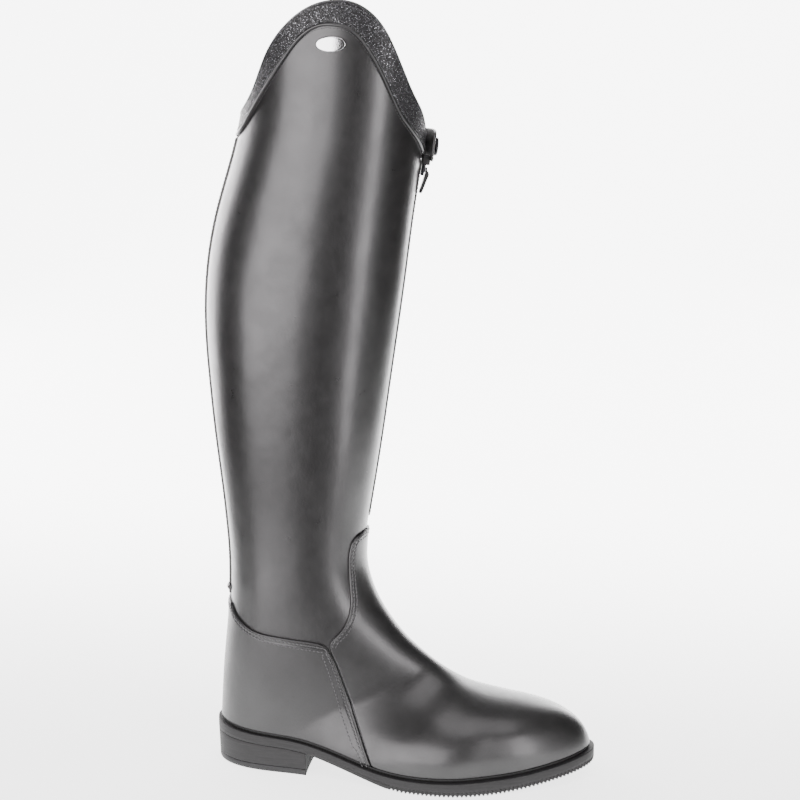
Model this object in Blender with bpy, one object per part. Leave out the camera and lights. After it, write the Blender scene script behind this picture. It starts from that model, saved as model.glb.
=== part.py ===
# Dress riding boot for the right foot. Toe +X, lateral side -Y, floor at z = 0, metres.
# Sizes are written in millimetres in the design frame and scaled on output.
import math

import bmesh
import bpy
import numpy as np
from mathutils import Vector
from mathutils.bvhtree import BVHTree

for old in list(bpy.data.objects):
    bpy.data.objects.remove(old, do_unlink=True)

MM = 0.001
GAP = 0.3
WALL = 2.0
OVERLAY = 1.3
SHIFT = Vector((-135.16, 1.25, 0.0))

# Sections of the last and the shaft, from the top of the shaft down to the tip of the toe.
# Each one lies in a plane across the boot, through a front point and a back point.
# ax, az: front or ridge point   bx, bz: back or bottom point   yc: centre, + is medial
# ry: ridge beside the centre   half: half width   mid: place of the widest point
# pt, pb: fullness in front and behind
SECTION_COLUMNS = ("ax", "az", "bx", "bz", "yc", "ry", "half", "mid", "pt", "pb")
SECTIONS = (
    (160.0, 570.0, 33.0, 570.0, 0.0, 0.0, 50.0, 0.50, 2.2, 2.2),
    (157.0, 530.0, 29.0, 530.0, 0.0, 0.0, 51.0, 0.50, 2.2, 2.2),
    (153.5, 490.0, 25.5, 490.0, 0.0, 0.0, 51.5, 0.50, 2.2, 2.2),
    (149.0, 450.0, 16.3, 450.0, 0.0, 0.0, 51.5, 0.49, 2.2, 2.2),
    (143.0, 410.0, 4.5, 410.0, 0.0, 0.0, 51.0, 0.48, 2.2, 2.2),
    (138.0, 370.0, -3.2, 370.0, 0.0, 0.0, 50.0, 0.47, 2.2, 2.2),
    (132.5, 330.0, -5.2, 330.0, 0.0, 0.0, 48.5, 0.46, 2.2, 2.2),
    (126.6, 290.0, -3.0, 290.0, 0.0, 0.0, 46.0, 0.46, 2.2, 2.2),
    (121.0, 250.0, 0.4, 250.0, 0.0, 0.0, 43.0, 0.46, 2.2, 2.2),
    (114.6, 210.0, 5.0, 210.0, 0.0, 0.0, 40.0, 0.46, 2.2, 2.2),
    (110.6, 185.0, 7.4, 185.0, 0.0, 0.0, 38.5, 0.46, 2.2, 2.2),
    (108.6, 161.0, 9.0, 161.0, 0.0, 0.0, 37.5, 0.46, 2.2, 2.2),
    (110.8, 145.0, 9.0, 137.0, 0.0, 0.0, 37.0, 0.45, 2.1, 2.2),
    (116.2, 130.0, 8.0, 113.0, 0.0, 0.0, 36.3, 0.44, 2.0, 2.3),
    (125.2, 114.5, 5.6, 89.0, 0.0, 0.3, 35.6, 0.42, 1.9, 2.4),
    (136.2, 100.5, 3.4, 65.0, -0.2, 1.0, 34.8, 0.40, 1.8, 2.5),
    (146.5, 90.5, 1.8, 40.0, -0.5, 2.0, 33.6, 0.40, 1.8, 2.6),
    (156.0, 82.8, 2.8, 12.0, -0.8, 3.0, 32.6, 0.40, 1.8, 2.6),
    (163.0, 77.5, 20.0, 5.0, -1.2, 4.0, 33.2, 0.40, 1.8, 2.7),
    (169.5, 73.2, 50.0, 1.0, -2.2, 5.0, 35.2, 0.39, 1.85, 2.8),
    (176.0, 69.4, 84.0, -2.0, -3.6, 6.0, 39.0, 0.38, 1.9, 2.9),
    (183.0, 66.0, 118.0, -4.5, -5.2, 6.5, 43.8, 0.37, 2.0, 3.0),
    (191.0, 63.0, 149.0, -6.0, -5.2, 6.5, 47.2, 0.36, 2.0, 3.0),
    (201.5, 60.0, 177.0, -6.0, -3.8, 6.0, 47.6, 0.36, 2.1, 3.0),
    (213.5, 57.4, 200.0, -6.0, -0.5, 4.0, 44.6, 0.37, 2.2, 3.0),
    (227.0, 55.0, 220.0, -6.0, 2.6, 2.0, 40.4, 0.38, 2.3, 3.0),
    (240.0, 52.0, 237.0, -6.0, 5.2, 1.0, 34.8, 0.39, 2.3, 3.0),
    (251.0, 48.2, 250.0, -5.5, 7.2, 0.0, 28.6, 0.40, 2.2, 2.8),
    (260.0, 43.0, 259.5, -4.0, 8.4, 0.0, 22.4, 0.42, 2.1, 2.6),
    (267.0, 36.5, 266.8, -1.0, 9.4, 0.0, 16.0, 0.44, 2.0, 2.4),
    (271.8, 28.0, 271.8, 4.0, 10.0, 0.0, 9.6, 0.47, 2.0, 2.2),
    (274.3, 18.5, 274.3, 10.0, 10.2, 0.0, 4.0, 0.50, 2.0, 2.0),
)


def spline(knots, values):
    """Natural cubic spline through the knots, as a function."""
    x = np.asarray(knots, float)
    y = np.asarray(values, float)
    count = len(x)
    h = np.diff(x)
    rows = np.eye(count)
    right = np.zeros(count)
    for i in range(1, count - 1):
        rows[i, i - 1] = h[i - 1]
        rows[i, i] = 2.0 * (h[i - 1] + h[i])
        rows[i, i + 1] = h[i]
        right[i] = 6.0 * ((y[i + 1] - y[i]) / h[i] - (y[i] - y[i - 1]) / h[i - 1])
    curve = np.linalg.solve(rows, right)

    def value(at):
        at = np.asarray(at, float)
        i = np.clip(np.searchsorted(x, at) - 1, 0, count - 2)
        left = x[i + 1] - at
        past = at - x[i]
        base = (curve[i] * left ** 3 + curve[i + 1] * past ** 3) / (6.0 * h[i])
        base = base + (y[i] / h[i] - curve[i] * h[i] / 6.0) * left
        return base + (y[i + 1] / h[i] - curve[i + 1] * h[i] / 6.0) * past

    return value


LAST_ROW = len(SECTIONS) - 1
FIT = {}
for column, name in enumerate(SECTION_COLUMNS):
    FIT[name] = spline(range(len(SECTIONS)), [row[column] for row in SECTIONS])


def skin(u, a):
    """Points of the outer leather at row u and angle a (0 front, 90 lateral, 180 back)."""
    u, a = np.broadcast_arrays(np.asarray(u, float), np.asarray(a, float))
    v = {name: fit(u) for name, fit in FIT.items()}
    c = np.cos(a)
    ahead = c >= 0
    part = np.where(ahead, v["mid"] + (1.0 - v["mid"]) * c, v["mid"] * (1.0 + c))
    power = np.where(ahead, v["pt"], v["pb"])
    wide = np.sqrt(np.clip(1.0 - np.abs(c) ** power, 0.0, 1.0))
    side = np.where(np.sin(a) >= 0, -1.0, 1.0)
    x = v["bx"] + (v["ax"] - v["bx"]) * part
    y = v["yc"] + v["ry"] * np.clip(c, 0.0, 1.0) ** 2 + side * v["half"] * wide
    z = v["bz"] + (v["az"] - v["bz"]) * part
    return np.stack([x, y, z], -1)


def offset_skin(u, a, off):
    """Points of the skin moved outwards by off along its normal."""
    u, a = np.broadcast_arrays(np.asarray(u, float), np.asarray(a, float))
    step = 0.02
    du = skin(u + step, a) - skin(u - step, a)
    da = skin(u, a + step) - skin(u, a - step)
    n = np.cross(du, da)
    size = np.linalg.norm(n, axis=-1, keepdims=True)
    n = n / np.maximum(size, 1e-9)
    middle = np.stack([0.5 * (FIT["ax"](u) + FIT["bx"](u)), FIT["yc"](u),
                       0.5 * (FIT["az"](u) + FIT["bz"](u))], -1)
    p = skin(u, a)
    side = np.sum((p - middle) * n, -1, keepdims=True)
    n = np.where(side < 0, -n, n)
    return p + n * off


FINE_U = np.linspace(0.0, 14.0, 701)
FINE_Z = FIT["bz"](FINE_U)


def row_at(z):
    """Row number of the shaft section at height z, measured at the back."""
    return np.interp(-np.asarray(z, float), -FINE_Z, FINE_U)


# Height of the sole's upper face and of its underside along the foot.
SOLE_X = (-8.0, 10.0, 40.0, 68.0, 87.0, 105.0, 122.0, 145.0, 175.0, 203.0, 230.0, 255.0, 284.0)
SOLE_TOP_Z = (31.3, 29.3, 27.3, 25.0, 21.0, 16.4, 12.6, 10.0, 9.9, 10.9, 13.0, 16.3, 21.5)
UNDER_X = (-8.0, 40.0, 72.0, 87.0, 105.0, 122.0, 136.0, 148.0, 195.0, 210.0, 230.0, 255.0, 284.0)
UNDER_Z = (22.4, 20.2, 17.3, 13.6, 8.8, 4.4, 1.3, 0.0, 0.0, 0.5, 2.6, 6.2, 11.4)
MIDSOLE = 2.2
INSOLE = 2.4
TOP_LIFT = 4.9
BREAST_X = 72.0
LEDGE_X = (0.0, 80.0, 150.0, 284.0)
LEDGE = (2.6, 2.4, 3.3, 3.3)

# Collar line and lower edge of the cuff: angle around the shaft, height, height.
COLLAR_COLUMNS = ("angle", "collar", "cuff_edge")
COLLAR = (
    (-8.0, 470.0, 456.0),
    (10.0, 484.4, 464.5),
    (27.0, 502.0, 477.5),
    (40.0, 522.0, 492.0),
    (52.0, 542.0, 512.5),
    (64.0, 555.2, 532.0),
    (73.0, 560.6, 542.6),
    (84.0, 562.7, 546.8),
    (94.0, 561.2, 546.3),
    (107.0, 554.6, 536.5),
    (119.0, 543.5, 519.0),
    (132.0, 525.0, 499.5),
    (142.0, 504.5, 485.5),
    (150.0, 494.0, 475.5),
    (165.0, 485.0, 467.5),
    (180.0, 482.0, 464.8),
    (205.0, 485.0, 467.5),
    (235.0, 497.0, 479.5),
    (270.0, 507.0, 490.0),
    (300.0, 500.0, 483.5),
    (325.0, 484.5, 468.5),
    (340.0, 475.0, 460.0),
)

# Seam lines seen from the side: x, z.
COUNTER_LINE = (
    (-60.0, 133.0), (2.0, 128.5), (10.0, 126.0), (13.3, 122.6), (15.6, 118.6), (19.7, 115.0),
    (25.4, 111.8), (34.2, 108.3), (46.8, 106.4), (66.9, 104.1), (79.9, 102.0), (84.6, 100.2),
    (88.0, 96.4), (92.2, 88.2), (98.6, 70.9), (107.4, 48.0), (116.0, 29.5), (123.0, 14.3),
    (129.0, 0.0), (138.0, -30.0), (-60.0, -30.0),
)
VAMP_LINE = (
    (330.0, 184.0), (112.0, 181.0), (107.5, 179.7), (103.8, 176.6), (101.8, 171.5),
    (100.7, 160.8), (101.2, 150.0), (102.0, 140.0), (102.7, 130.4), (101.2, 119.5),
    (95.9, 109.3), (89.2, 101.2), (90.3, 96.6), (93.0, 88.5), (99.3, 71.2), (108.1, 48.3),
    (116.7, 29.8), (123.7, 14.6), (129.7, 0.2), (138.7, -30.0), (330.0, -30.0),
)

AROUND = 28
SHAFT_RINGS = 4
FOOT_RINGS = 36
STRIP_HALF = 9.0
STRIP_Z = (134.6, 461.4)
ZIP_MIDDLE = -13.0
ZIP_HALF = 8.5
TEETH_HALF = 2.2
ZIP_Z = (192.0, 450.0)
TEETH_TOP = 435.0


def profile(xs, zs):
    """Smooth height along the foot, held straight beyond the table."""
    fit = spline(xs, zs)

    def height(x):
        return fit(np.clip(x, xs[0], xs[-1]))

    return height


sole_top = profile(SOLE_X, SOLE_TOP_Z)


def sole_under(x):
    """Underside: flat at zero under the ball, smooth elsewhere."""
    return np.interp(np.asarray(x, float), FINE_X, FINE_UNDER)


FINE_X = np.linspace(-8.0, 284.0, 585)
FINE_UNDER = np.clip(profile(UNDER_X, UNDER_Z)(FINE_X), 0.0, 99.0)
FINE_UNDER[(FINE_X > 146.0) & (FINE_X < 197.0)] = 0.0


def collar_fit(column):
    knots = []
    heights = []
    for turn in (-360.0, 0.0, 360.0):
        for row in COLLAR:
            knots.append(math.radians(row[0] + turn))
            heights.append(row[column])
    return spline(knots, heights)


collar_z = collar_fit(1)
cuff_edge_z = collar_fit(2)

materials = {}
main = bpy.data.collections.new("dress_riding_boot")
tools = bpy.data.collections.new("cutters")
bpy.context.scene.collection.children.link(main)
bpy.context.scene.collection.children.link(tools)


def material(name, color, roughness, metallic=0.0):
    mat = bpy.data.materials.new(name)
    mat.use_nodes = True
    shader = mat.node_tree.nodes["Principled BSDF"]
    shader.inputs["Base Color"].default_value = (*color, 1.0)
    shader.inputs["Roughness"].default_value = roughness
    shader.inputs["Metallic"].default_value = metallic
    return mat


def to_scene(p):
    return (Vector([float(v) for v in p]) + SHIFT) * MM


def add_object(name, bm, look=None, origin=None, cutter=False):
    """Put a bmesh in the scene as one named object."""
    bmesh.ops.recalc_face_normals(bm, faces=bm.faces)
    if origin is not None:
        bmesh.ops.translate(bm, verts=bm.verts, vec=-origin)
    mesh = bpy.data.meshes.new(name)
    bm.to_mesh(mesh)
    bm.free()
    obj = bpy.data.objects.new(name, mesh)
    if origin is not None:
        obj.location = origin
    if cutter:
        obj.hide_render = True
        obj.display_type = "WIRE"
        tools.objects.link(obj)
    else:
        mesh.materials.append(look)
        main.objects.link(obj)
    return obj


def boolean(obj, cutter, operation):
    mod = obj.modifiers.new(operation.lower(), "BOOLEAN")
    mod.operation = operation
    mod.solver = "EXACT"
    mod.object = cutter
    return mod


def grid_solid(outer, inner, wrap=True, tips=None):
    """Closed solid between two matching grids of points; tips closes the last ring."""
    bm = bmesh.new()
    rows, cols = outer.shape[0], outer.shape[1]
    sheets = []
    for grid in (outer, inner):
        sheets.append([[bm.verts.new(to_scene(grid[i, j])) for j in range(cols)]
                       for i in range(rows)])
    spans = range(cols) if wrap else range(cols - 1)
    for sheet in sheets:
        for i in range(rows - 1):
            for j in spans:
                k = (j + 1) % cols
                bm.faces.new((sheet[i][j], sheet[i][k], sheet[i + 1][k]))
                bm.faces.new((sheet[i][j], sheet[i + 1][k], sheet[i + 1][j]))
    ends = [0] if tips else [0, rows - 1]
    for i in ends:
        for j in spans:
            k = (j + 1) % cols
            bm.faces.new((sheets[0][i][j], sheets[0][i][k], sheets[1][i][k], sheets[1][i][j]))
    if not wrap:
        for j in (0, cols - 1):
            for i in range(rows - 1):
                bm.faces.new((sheets[0][i][j], sheets[0][i + 1][j],
                              sheets[1][i + 1][j], sheets[1][i][j]))
    if tips:
        for sheet, tip in zip(sheets, tips):
            point = bm.verts.new(to_scene(tip))
            for j in spans:
                bm.faces.new((sheet[-1][j], sheet[-1][(j + 1) % cols], point))
    return bm


ANGLES = np.arange(AROUND) * 2.0 * math.pi / AROUND
TIP = np.array([275.4, 10.2, 14.2])


def rings_between(first_z, second_z, count):
    """Rows of u for rings blended between two heights that may vary around."""
    share = np.linspace(0.0, 1.0, count + 1)[:, None]
    heights = first_z[None, :] + (second_z[None, :] - first_z[None, :]) * share
    return row_at(heights)


def foot_rows(first):
    """The upper's own rows from the first one on, so that facets stay parallel."""
    own = np.linspace(float(row_at(440.0)), LAST_ROW, FOOT_RINGS)
    return np.repeat(own[own >= first][:, None], AROUND, 1)


def shell(rows, outer, inner):
    """Hollow leather between two offsets, closed at the toe and open above."""
    grids = []
    tips = []
    for off in (outer, inner):
        grids.append(offset_skin(rows, np.broadcast_to(ANGLES, rows.shape), off))
        tips.append(TIP + np.array([off, 0.0, 0.0]))
    return grid_solid(grids[0], grids[1], True, tips)


def patch(low_z, high_z, angle_0, angle_1, rows, cols, outer, inner):
    """Curved strip on the shaft between two heights and two angles."""
    z = np.linspace(high_z, low_z, rows + 1)[:, None]
    a = np.radians(np.linspace(angle_0, angle_1, cols + 1))[None, :]
    z, a = np.broadcast_arrays(z, a)
    u = row_at(z)
    return grid_solid(offset_skin(u, a, outer), offset_skin(u, a, inner), False)


def slab(name, low, high):
    """Cutter with curved faces, both given as heights along the foot."""
    bm = bmesh.new()
    xs = np.linspace(-30.0, 310.0, 69)
    edges = []
    for height in (low, high):
        for y in (-90.0, 90.0):
            edges.append([bm.verts.new(to_scene((x, y, float(height(x))))) for x in xs])
    for i in range(len(xs) - 1):
        for a, b in ((0, 1), (1, 3), (3, 2), (2, 0)):
            bm.faces.new((edges[a][i], edges[a][i + 1], edges[b][i + 1], edges[b][i]))
    for i in (0, len(xs) - 1):
        bm.faces.new((edges[0][i], edges[1][i], edges[3][i], edges[2][i]))
    return add_object(name, bm, cutter=True)


def prism(name, line):
    """Cutter pulled across the boot from an outline seen from the side."""
    bm = bmesh.new()
    near = [bm.verts.new(to_scene((x, -90.0, z))) for x, z in line]
    far = [bm.verts.new(to_scene((x, 90.0, z))) for x, z in line]
    bm.faces.new(near)
    bm.faces.new(far)
    for i in range(len(line)):
        k = (i + 1) % len(line)
        bm.faces.new((near[i], near[k], far[k], far[i]))
    return add_object(name, bm, cutter=True)


# Leather of the shaft and the foot.
leather = material("smooth_leather", (0.012, 0.012, 0.013), 0.32)
vamp_leather = material("vamp_leather", (0.012, 0.012, 0.013), 0.30)
counter_leather = material("counter_leather", (0.013, 0.013, 0.014), 0.34)

top_rows = rings_between(collar_z(ANGLES), np.full(AROUND, 440.0), SHAFT_RINGS)
rows = np.concatenate([top_rows[:-1], foot_rows(0.0)])
upper = add_object("upper", shell(rows, 0.0, -WALL), leather)


def rim_height(x):
    return sole_top(x) + MIDSOLE + 2.0 * GAP


def far_below(x):
    return -60.0


sole_space = slab("cut_sole_space", far_below, rim_height)
boolean(upper, sole_space, "DIFFERENCE")

vamp = add_object("vamp", shell(foot_rows(9.2), OVERLAY + GAP, GAP), vamp_leather)
boolean(vamp, prism("cut_vamp_line", VAMP_LINE), "INTERSECT")
boolean(vamp, sole_space, "DIFFERENCE")

counter = add_object("counter", shell(foot_rows(10.8), OVERLAY + GAP + 0.3, GAP),
                     counter_leather)
boolean(counter, prism("cut_counter_line", COUNTER_LINE), "INTERSECT")
boolean(counter, sole_space, "DIFFERENCE")


# Feather line, where the leather meets the sole, felt out from inside the foot.
SPINE_X = (32.0, 90.0, 120.0, 150.0, 180.0, 222.0)
SPINE_Y = (0.0, -2.0, -4.5, -5.5, -4.0, 2.5)
TURN = 9


def feather(off, rise):
    """Outline of the leather just over the sole: lateral and medial points."""
    form = shell(foot_rows(8.0), off, off - 1.0)
    bmesh.ops.recalc_face_normals(form, faces=form.faces)
    tree = BVHTree.FromBMesh(form)
    form.free()
    stations = []
    for k in range(TURN):
        angle = math.pi - k * 0.5 * math.pi / TURN
        stations.append((SPINE_X[0], angle))
    for x in np.arange(SPINE_X[0], SPINE_X[-1] + 0.1, 10.0):
        stations.append((float(x), 0.5 * math.pi))
    for k in range(1, TURN + 2):
        stations.append((SPINE_X[-1], 0.5 * math.pi * (1.0 - k / (TURN + 1.0))))
    sides = []
    for side in (-1.0, 1.0):
        line = []
        for x, angle in stations:
            y = float(np.interp(x, SPINE_X, SPINE_Y))
            way = Vector((math.cos(angle), side * math.sin(angle), 0.0))
            at = x
            for _ in range(5):
                start = to_scene((x, y, float(sole_top(at)) + rise))
                hit = tree.ray_cast(start, way)[0]
                found = hit / MM - SHIFT
                at = found.x
            line.append((found.x, found.y))
        sides.append(line)
    return sides


def widen(sides, amount):
    """Outline moved outwards by an amount that may depend on x."""
    lateral, medial = sides
    loop = np.array(lateral + medial[-2:0:-1], float)
    ahead = np.roll(loop, -1, 0) - np.roll(loop, 1, 0)
    ahead = ahead / np.linalg.norm(ahead, axis=1, keepdims=True)
    out = np.stack([ahead[:, 1], -ahead[:, 0]], 1)
    centre = loop.mean(0)
    if np.sum((loop[0] - centre) * out[0]) < 0.0:
        out = -out
    step = np.array([amount(x) for x in loop[:, 0]])[:, None]
    moved = loop + out * step
    count = len(lateral)
    back = [tuple(moved[0])] + [tuple(p) for p in moved[:count - 1:-1]]
    back.append(tuple(moved[count - 1]))
    return [tuple(p) for p in moved[:count]], back


def layer(levels, blunt=False):
    """Solid from outlines stacked from top to bottom, each with its own height function."""
    bm = bmesh.new()
    stack = []
    for (lateral, medial), height in levels:
        left = []
        right = []
        last = len(lateral) - 1
        for i, (a, b) in enumerate(zip(lateral, medial)):
            left.append(bm.verts.new(to_scene((a[0], a[1], float(height(a[0]))))))
            if i == 0 or (i == last and not blunt):
                right.append(left[-1])
            else:
                right.append(bm.verts.new(to_scene((b[0], b[1], float(height(b[0]))))))
        stack.append((left, right))
    count = len(stack[0][0])

    def face(points):
        own = []
        for v in points:
            if v not in own:
                own.append(v)
        if len(own) > 2:
            bm.faces.new(own)

    for high, low in zip(stack, stack[1:]):
        for side in (0, 1):
            for i in range(count - 1):
                face((high[side][i], high[side][i + 1], low[side][i + 1], low[side][i]))
        face((high[0][-1], high[1][-1], low[1][-1], low[0][-1]))
    for left, right in (stack[0], stack[-1]):
        for i in range(count - 1):
            face((left[i], left[i + 1], right[i + 1], right[i]))
    return bm


def clipped(sides, limit):
    """Part of the outline behind a plane across the foot."""
    out = []
    for line in sides:
        keep = [p for p in line if p[0] < limit - 1.0]
        ahead = line[len(keep)]
        last = keep[-1]
        share = (limit - last[0]) / (ahead[0] - last[0])
        keep.append((limit, last[1] + (ahead[1] - last[1]) * share))
        out.append(keep)
    count = min(len(out[0]), len(out[1]))
    return [line[:count - 1] + [line[-1]] for line in out]


def plus(height, amount):
    return lambda x: float(height(x)) + amount


sole_leather = material("sole_edge", (0.020, 0.019, 0.019), 0.55)
midsole_look = material("midsole_black", (0.008, 0.008, 0.008), 0.7)
insole_look = material("insole_lining", (0.09, 0.085, 0.08), 0.8)
heel_look = material("heel_black", (0.020, 0.019, 0.019), 0.55)
lift_look = material("top_lift_rubber", (0.016, 0.016, 0.016), 0.7)

line = feather(OVERLAY + GAP, MIDSOLE + 2.0 * GAP + 0.5)


def ledge(x):
    return float(np.interp(x, LEDGE_X, LEDGE))


edge = widen(line, ledge)
edge_low = widen(line, lambda x: ledge(x) + 0.4)
edge_foot = widen(line, lambda x: ledge(x) - 0.9)

add_object("outsole", layer((
    (widen(line, lambda x: ledge(x) - 0.7), sole_top),
    (edge, plus(sole_top, -1.0)),
    (edge_low, lambda x: 0.45 * float(sole_top(x)) + 0.55 * float(sole_under(x))),
    (edge, plus(sole_under, 1.2)),
    (edge_foot, sole_under),
)), sole_leather)

inset = widen(line, lambda x: -0.5)
add_object("midsole", layer((
    (inset, plus(sole_top, GAP + MIDSOLE)),
    (inset, plus(sole_top, GAP)),
)), midsole_look)

inner_line = feather(-WALL - GAP, MIDSOLE + 2.0 * GAP)
sock = widen(inner_line, lambda x: -0.4)
add_object("insole", layer((
    (sock, plus(sole_top, MIDSOLE + 2.0 * GAP + INSOLE)),
    (sock, plus(sole_top, MIDSOLE + 2.0 * GAP)),
)), insole_look)

heel_edge = clipped(widen(line, lambda x: ledge(x) - 0.9), BREAST_X)
heel_low = clipped(widen(line, lambda x: ledge(x) - 1.6), BREAST_X)
lift_low = clipped(widen(line, lambda x: ledge(x) - 2.4), BREAST_X)
add_object("heel_block", layer((
    (heel_edge, plus(sole_under, -GAP)),
    (heel_low, lambda x: TOP_LIFT + GAP),
), True), heel_look)
add_object("top_lift", layer((
    (heel_low, lambda x: TOP_LIFT),
    (heel_low, lambda x: 1.0),
    (lift_low, lambda x: 0.0),
), True), lift_look)


# Cuff, its cord, and the strip over the back seam.
cuff_look = material("glitter_grain_leather", (0.020, 0.020, 0.021), 0.45)
cord_look = material("piping_black", (0.008, 0.008, 0.008), 0.5)
strip_look = material("strip_leather", (0.010, 0.010, 0.010), 0.5)
metal = material("black_metal", (0.03, 0.03, 0.032), 0.3, 1.0)
plate_look = material("polished_plate", (0.75, 0.75, 0.76), 0.2, 1.0)
tape_look = material("zip_tape_black", (0.01, 0.01, 0.01), 0.8)
tab_look = material("tab_leather", (0.011, 0.011, 0.012), 0.4)

FINE_ANGLES = np.arange(2 * AROUND) * math.pi / AROUND
cuff_share = np.linspace(0.0, 1.0, 4)[:, None]
cuff_heights = collar_z(FINE_ANGLES) * (1.0 - cuff_share) + cuff_edge_z(FINE_ANGLES) * cuff_share
cuff_rows = row_at(cuff_heights)
cuff_angles = np.broadcast_to(FINE_ANGLES, cuff_rows.shape)
add_object("cuff", grid_solid(offset_skin(cuff_rows, cuff_angles, OVERLAY + GAP),
                              offset_skin(cuff_rows, cuff_angles, GAP + 0.1)), cuff_look)

CORD = 0.9
CORD_SIDES = 6


def closed_tube(points, ups, radius):
    """Cord around a closed run of points; ups point away from the leather."""
    bm = bmesh.new()
    count = len(points)
    rings = []
    for i in range(count):
        along = points[(i + 1) % count] - points[i - 1]
        along = along / np.linalg.norm(along)
        across = np.cross(along, ups[i])
        across = across / np.linalg.norm(across)
        up = np.cross(across, along)
        ring = []
        for k in range(CORD_SIDES):
            turn = 2.0 * math.pi * (k + 0.5) / CORD_SIDES
            at = points[i] + radius * (math.cos(turn) * across + math.sin(turn) * up)
            ring.append(bm.verts.new(to_scene(at)))
        rings.append(ring)
    for i in range(count):
        nearby = rings[(i + 1) % count]
        for k in range(CORD_SIDES):
            j = (k + 1) % CORD_SIDES
            bm.faces.new((rings[i][k], rings[i][j], nearby[j], nearby[k]))
    return bm


cord_rows = row_at(cuff_edge_z(FINE_ANGLES))
cord_line = offset_skin(cord_rows, FINE_ANGLES, GAP + 0.2 + CORD)
cord_ups = cord_line - offset_skin(cord_rows, FINE_ANGLES, 0.0)
cord_ups = cord_ups / np.linalg.norm(cord_ups, axis=1, keepdims=True)
for i in range(len(cord_line)):
    cord_along = cord_line[(i + 1) % len(cord_line)] - cord_line[i - 1]
    cord_down = np.cross(cord_along, cord_ups[i])
    cord_down = cord_down / np.linalg.norm(cord_down)
    if cord_down[2] > 0.0:
        cord_down = -cord_down
    cord_line[i] = cord_line[i] + cord_down * (CORD + GAP + 0.1)
add_object("cuff_piping", closed_tube(cord_line, cord_ups, CORD), cord_look)

add_object("back_strip", patch(STRIP_Z[0], STRIP_Z[1], 180.0 - STRIP_HALF, 180.0 + STRIP_HALF,
                               24, 4, 2.0, GAP), strip_look)


def ledge_patch(low_z, high_z, half_angle, root, reach):
    """Small shelf on the back: reach above, tapering to the root below."""
    z = np.array([high_z, 0.5 * (high_z + low_z), low_z])[:, None]
    a = np.radians(np.linspace(180.0 - half_angle, 180.0 + half_angle, 7))[None, :]
    z, a = np.broadcast_arrays(z, a)
    u = row_at(z)
    share = np.array([1.0, 0.85, 0.4])[:, None]
    bow = 1.0 - ((a - math.pi) / math.radians(half_angle)) ** 2 * 0.7
    outer = root + 0.4 + (reach - root) * share * bow
    base = offset_skin(u, a, 0.0)
    way = offset_skin(u, a, 1.0) - base
    return grid_solid(base + way * outer[:, :, None], base + way * root, False)


add_object("spur_rest", ledge_patch(130.2, 133.8, 13.0, GAP, 3.4), strip_look)

# Zip in front on the medial side, closed, with the slider at its top.
add_object("zip_tape", patch(ZIP_Z[0], ZIP_Z[1], ZIP_MIDDLE - ZIP_HALF, ZIP_MIDDLE + ZIP_HALF,
                             20, 4, 1.0, GAP), tape_look)
add_object("zip_teeth", patch(ZIP_Z[0] + 4.0, TEETH_TOP, ZIP_MIDDLE - TEETH_HALF,
                              ZIP_MIDDLE + TEETH_HALF, 20, 2, 2.6, 1.3), metal)


def local_frame(z, degrees):
    """Point on the skin with its outward, sideways and upward directions."""
    a = math.radians(degrees)
    u = float(row_at(z))
    p = offset_skin(u, a, 0.0)
    out = offset_skin(u, a, 1.0) - p
    out = out / np.linalg.norm(out)
    side = np.cross(np.array([0.0, 0.0, 1.0]), out)
    side = side / np.linalg.norm(side)
    return p, out, side, np.cross(out, side)


def plate(outline, frame, low, high):
    """Flat plate: outline in side and up directions, between two offsets."""
    p, out, side, up = frame
    bm = bmesh.new()
    sheets = []
    for off in (low, high):
        sheets.append([bm.verts.new(to_scene(p + side * x + up * y + out * off))
                       for x, y in outline])
    bm.faces.new(sheets[0])
    bm.faces.new(sheets[1])
    for i in range(len(outline)):
        k = (i + 1) % len(outline)
        bm.faces.new((sheets[0][i], sheets[0][k], sheets[1][k], sheets[1][i]))
    return bm


def oval(width, height, count, x=0.0, y=0.0):
    turns = [2.0 * math.pi * k / count for k in range(count)]
    return [(x + 0.5 * width * math.cos(t), y + 0.5 * height * math.sin(t)) for t in turns]


def rounded(width, low, high, corner, steps=3):
    """Outline of a plate with rounded corners."""
    points = []
    for x, y, start in ((1, 1, 0.0), (-1, 1, 0.5), (-1, -1, 1.0), (1, -1, 1.5)):
        cx = x * (0.5 * width - corner)
        cy = (high - corner) if y > 0 else (low + corner)
        for k in range(steps + 1):
            turn = math.pi * (start + 0.5 * k / steps)
            points.append((cx + corner * math.cos(turn), cy + corner * math.sin(turn)))
    return points


badge_frame = local_frame(534.0, 86.0)
add_object("badge_plate", plate(oval(16.5, 10.5, 24), badge_frame, 0.5, 2.0), plate_look)

PULL_Z = 444.0
zip_frame = local_frame(PULL_Z, ZIP_MIDDLE)
SLIDER_BASE = (1.4, 3.9)
slider = add_object("zip_slider", plate(rounded(9.0, -5.5, 4.5, 2.0), zip_frame, *SLIDER_BASE),
                    metal)
for number, lug_x in enumerate((-3.95, 3.95)):
    lug = plate([(lug_x + x, y) for x, y in ((-0.5, -1.4), (0.5, -1.4), (0.5, 1.4), (-0.5, 1.4))],
                zip_frame, SLIDER_BASE[0] + 0.4, SLIDER_BASE[1] + 2.2)
    boolean(slider, add_object("join_lug_%d" % number, lug, cutter=True), "UNION")

PULL_OFF = 5.2
hinge = zip_frame[0] + zip_frame[1] * PULL_OFF
add_object("zip_pull", plate(rounded(6.2, -18.0, 0.9, 0.8), zip_frame, PULL_OFF - 0.6,
                             PULL_OFF + 0.6), metal, origin=to_scene(hinge))

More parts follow.
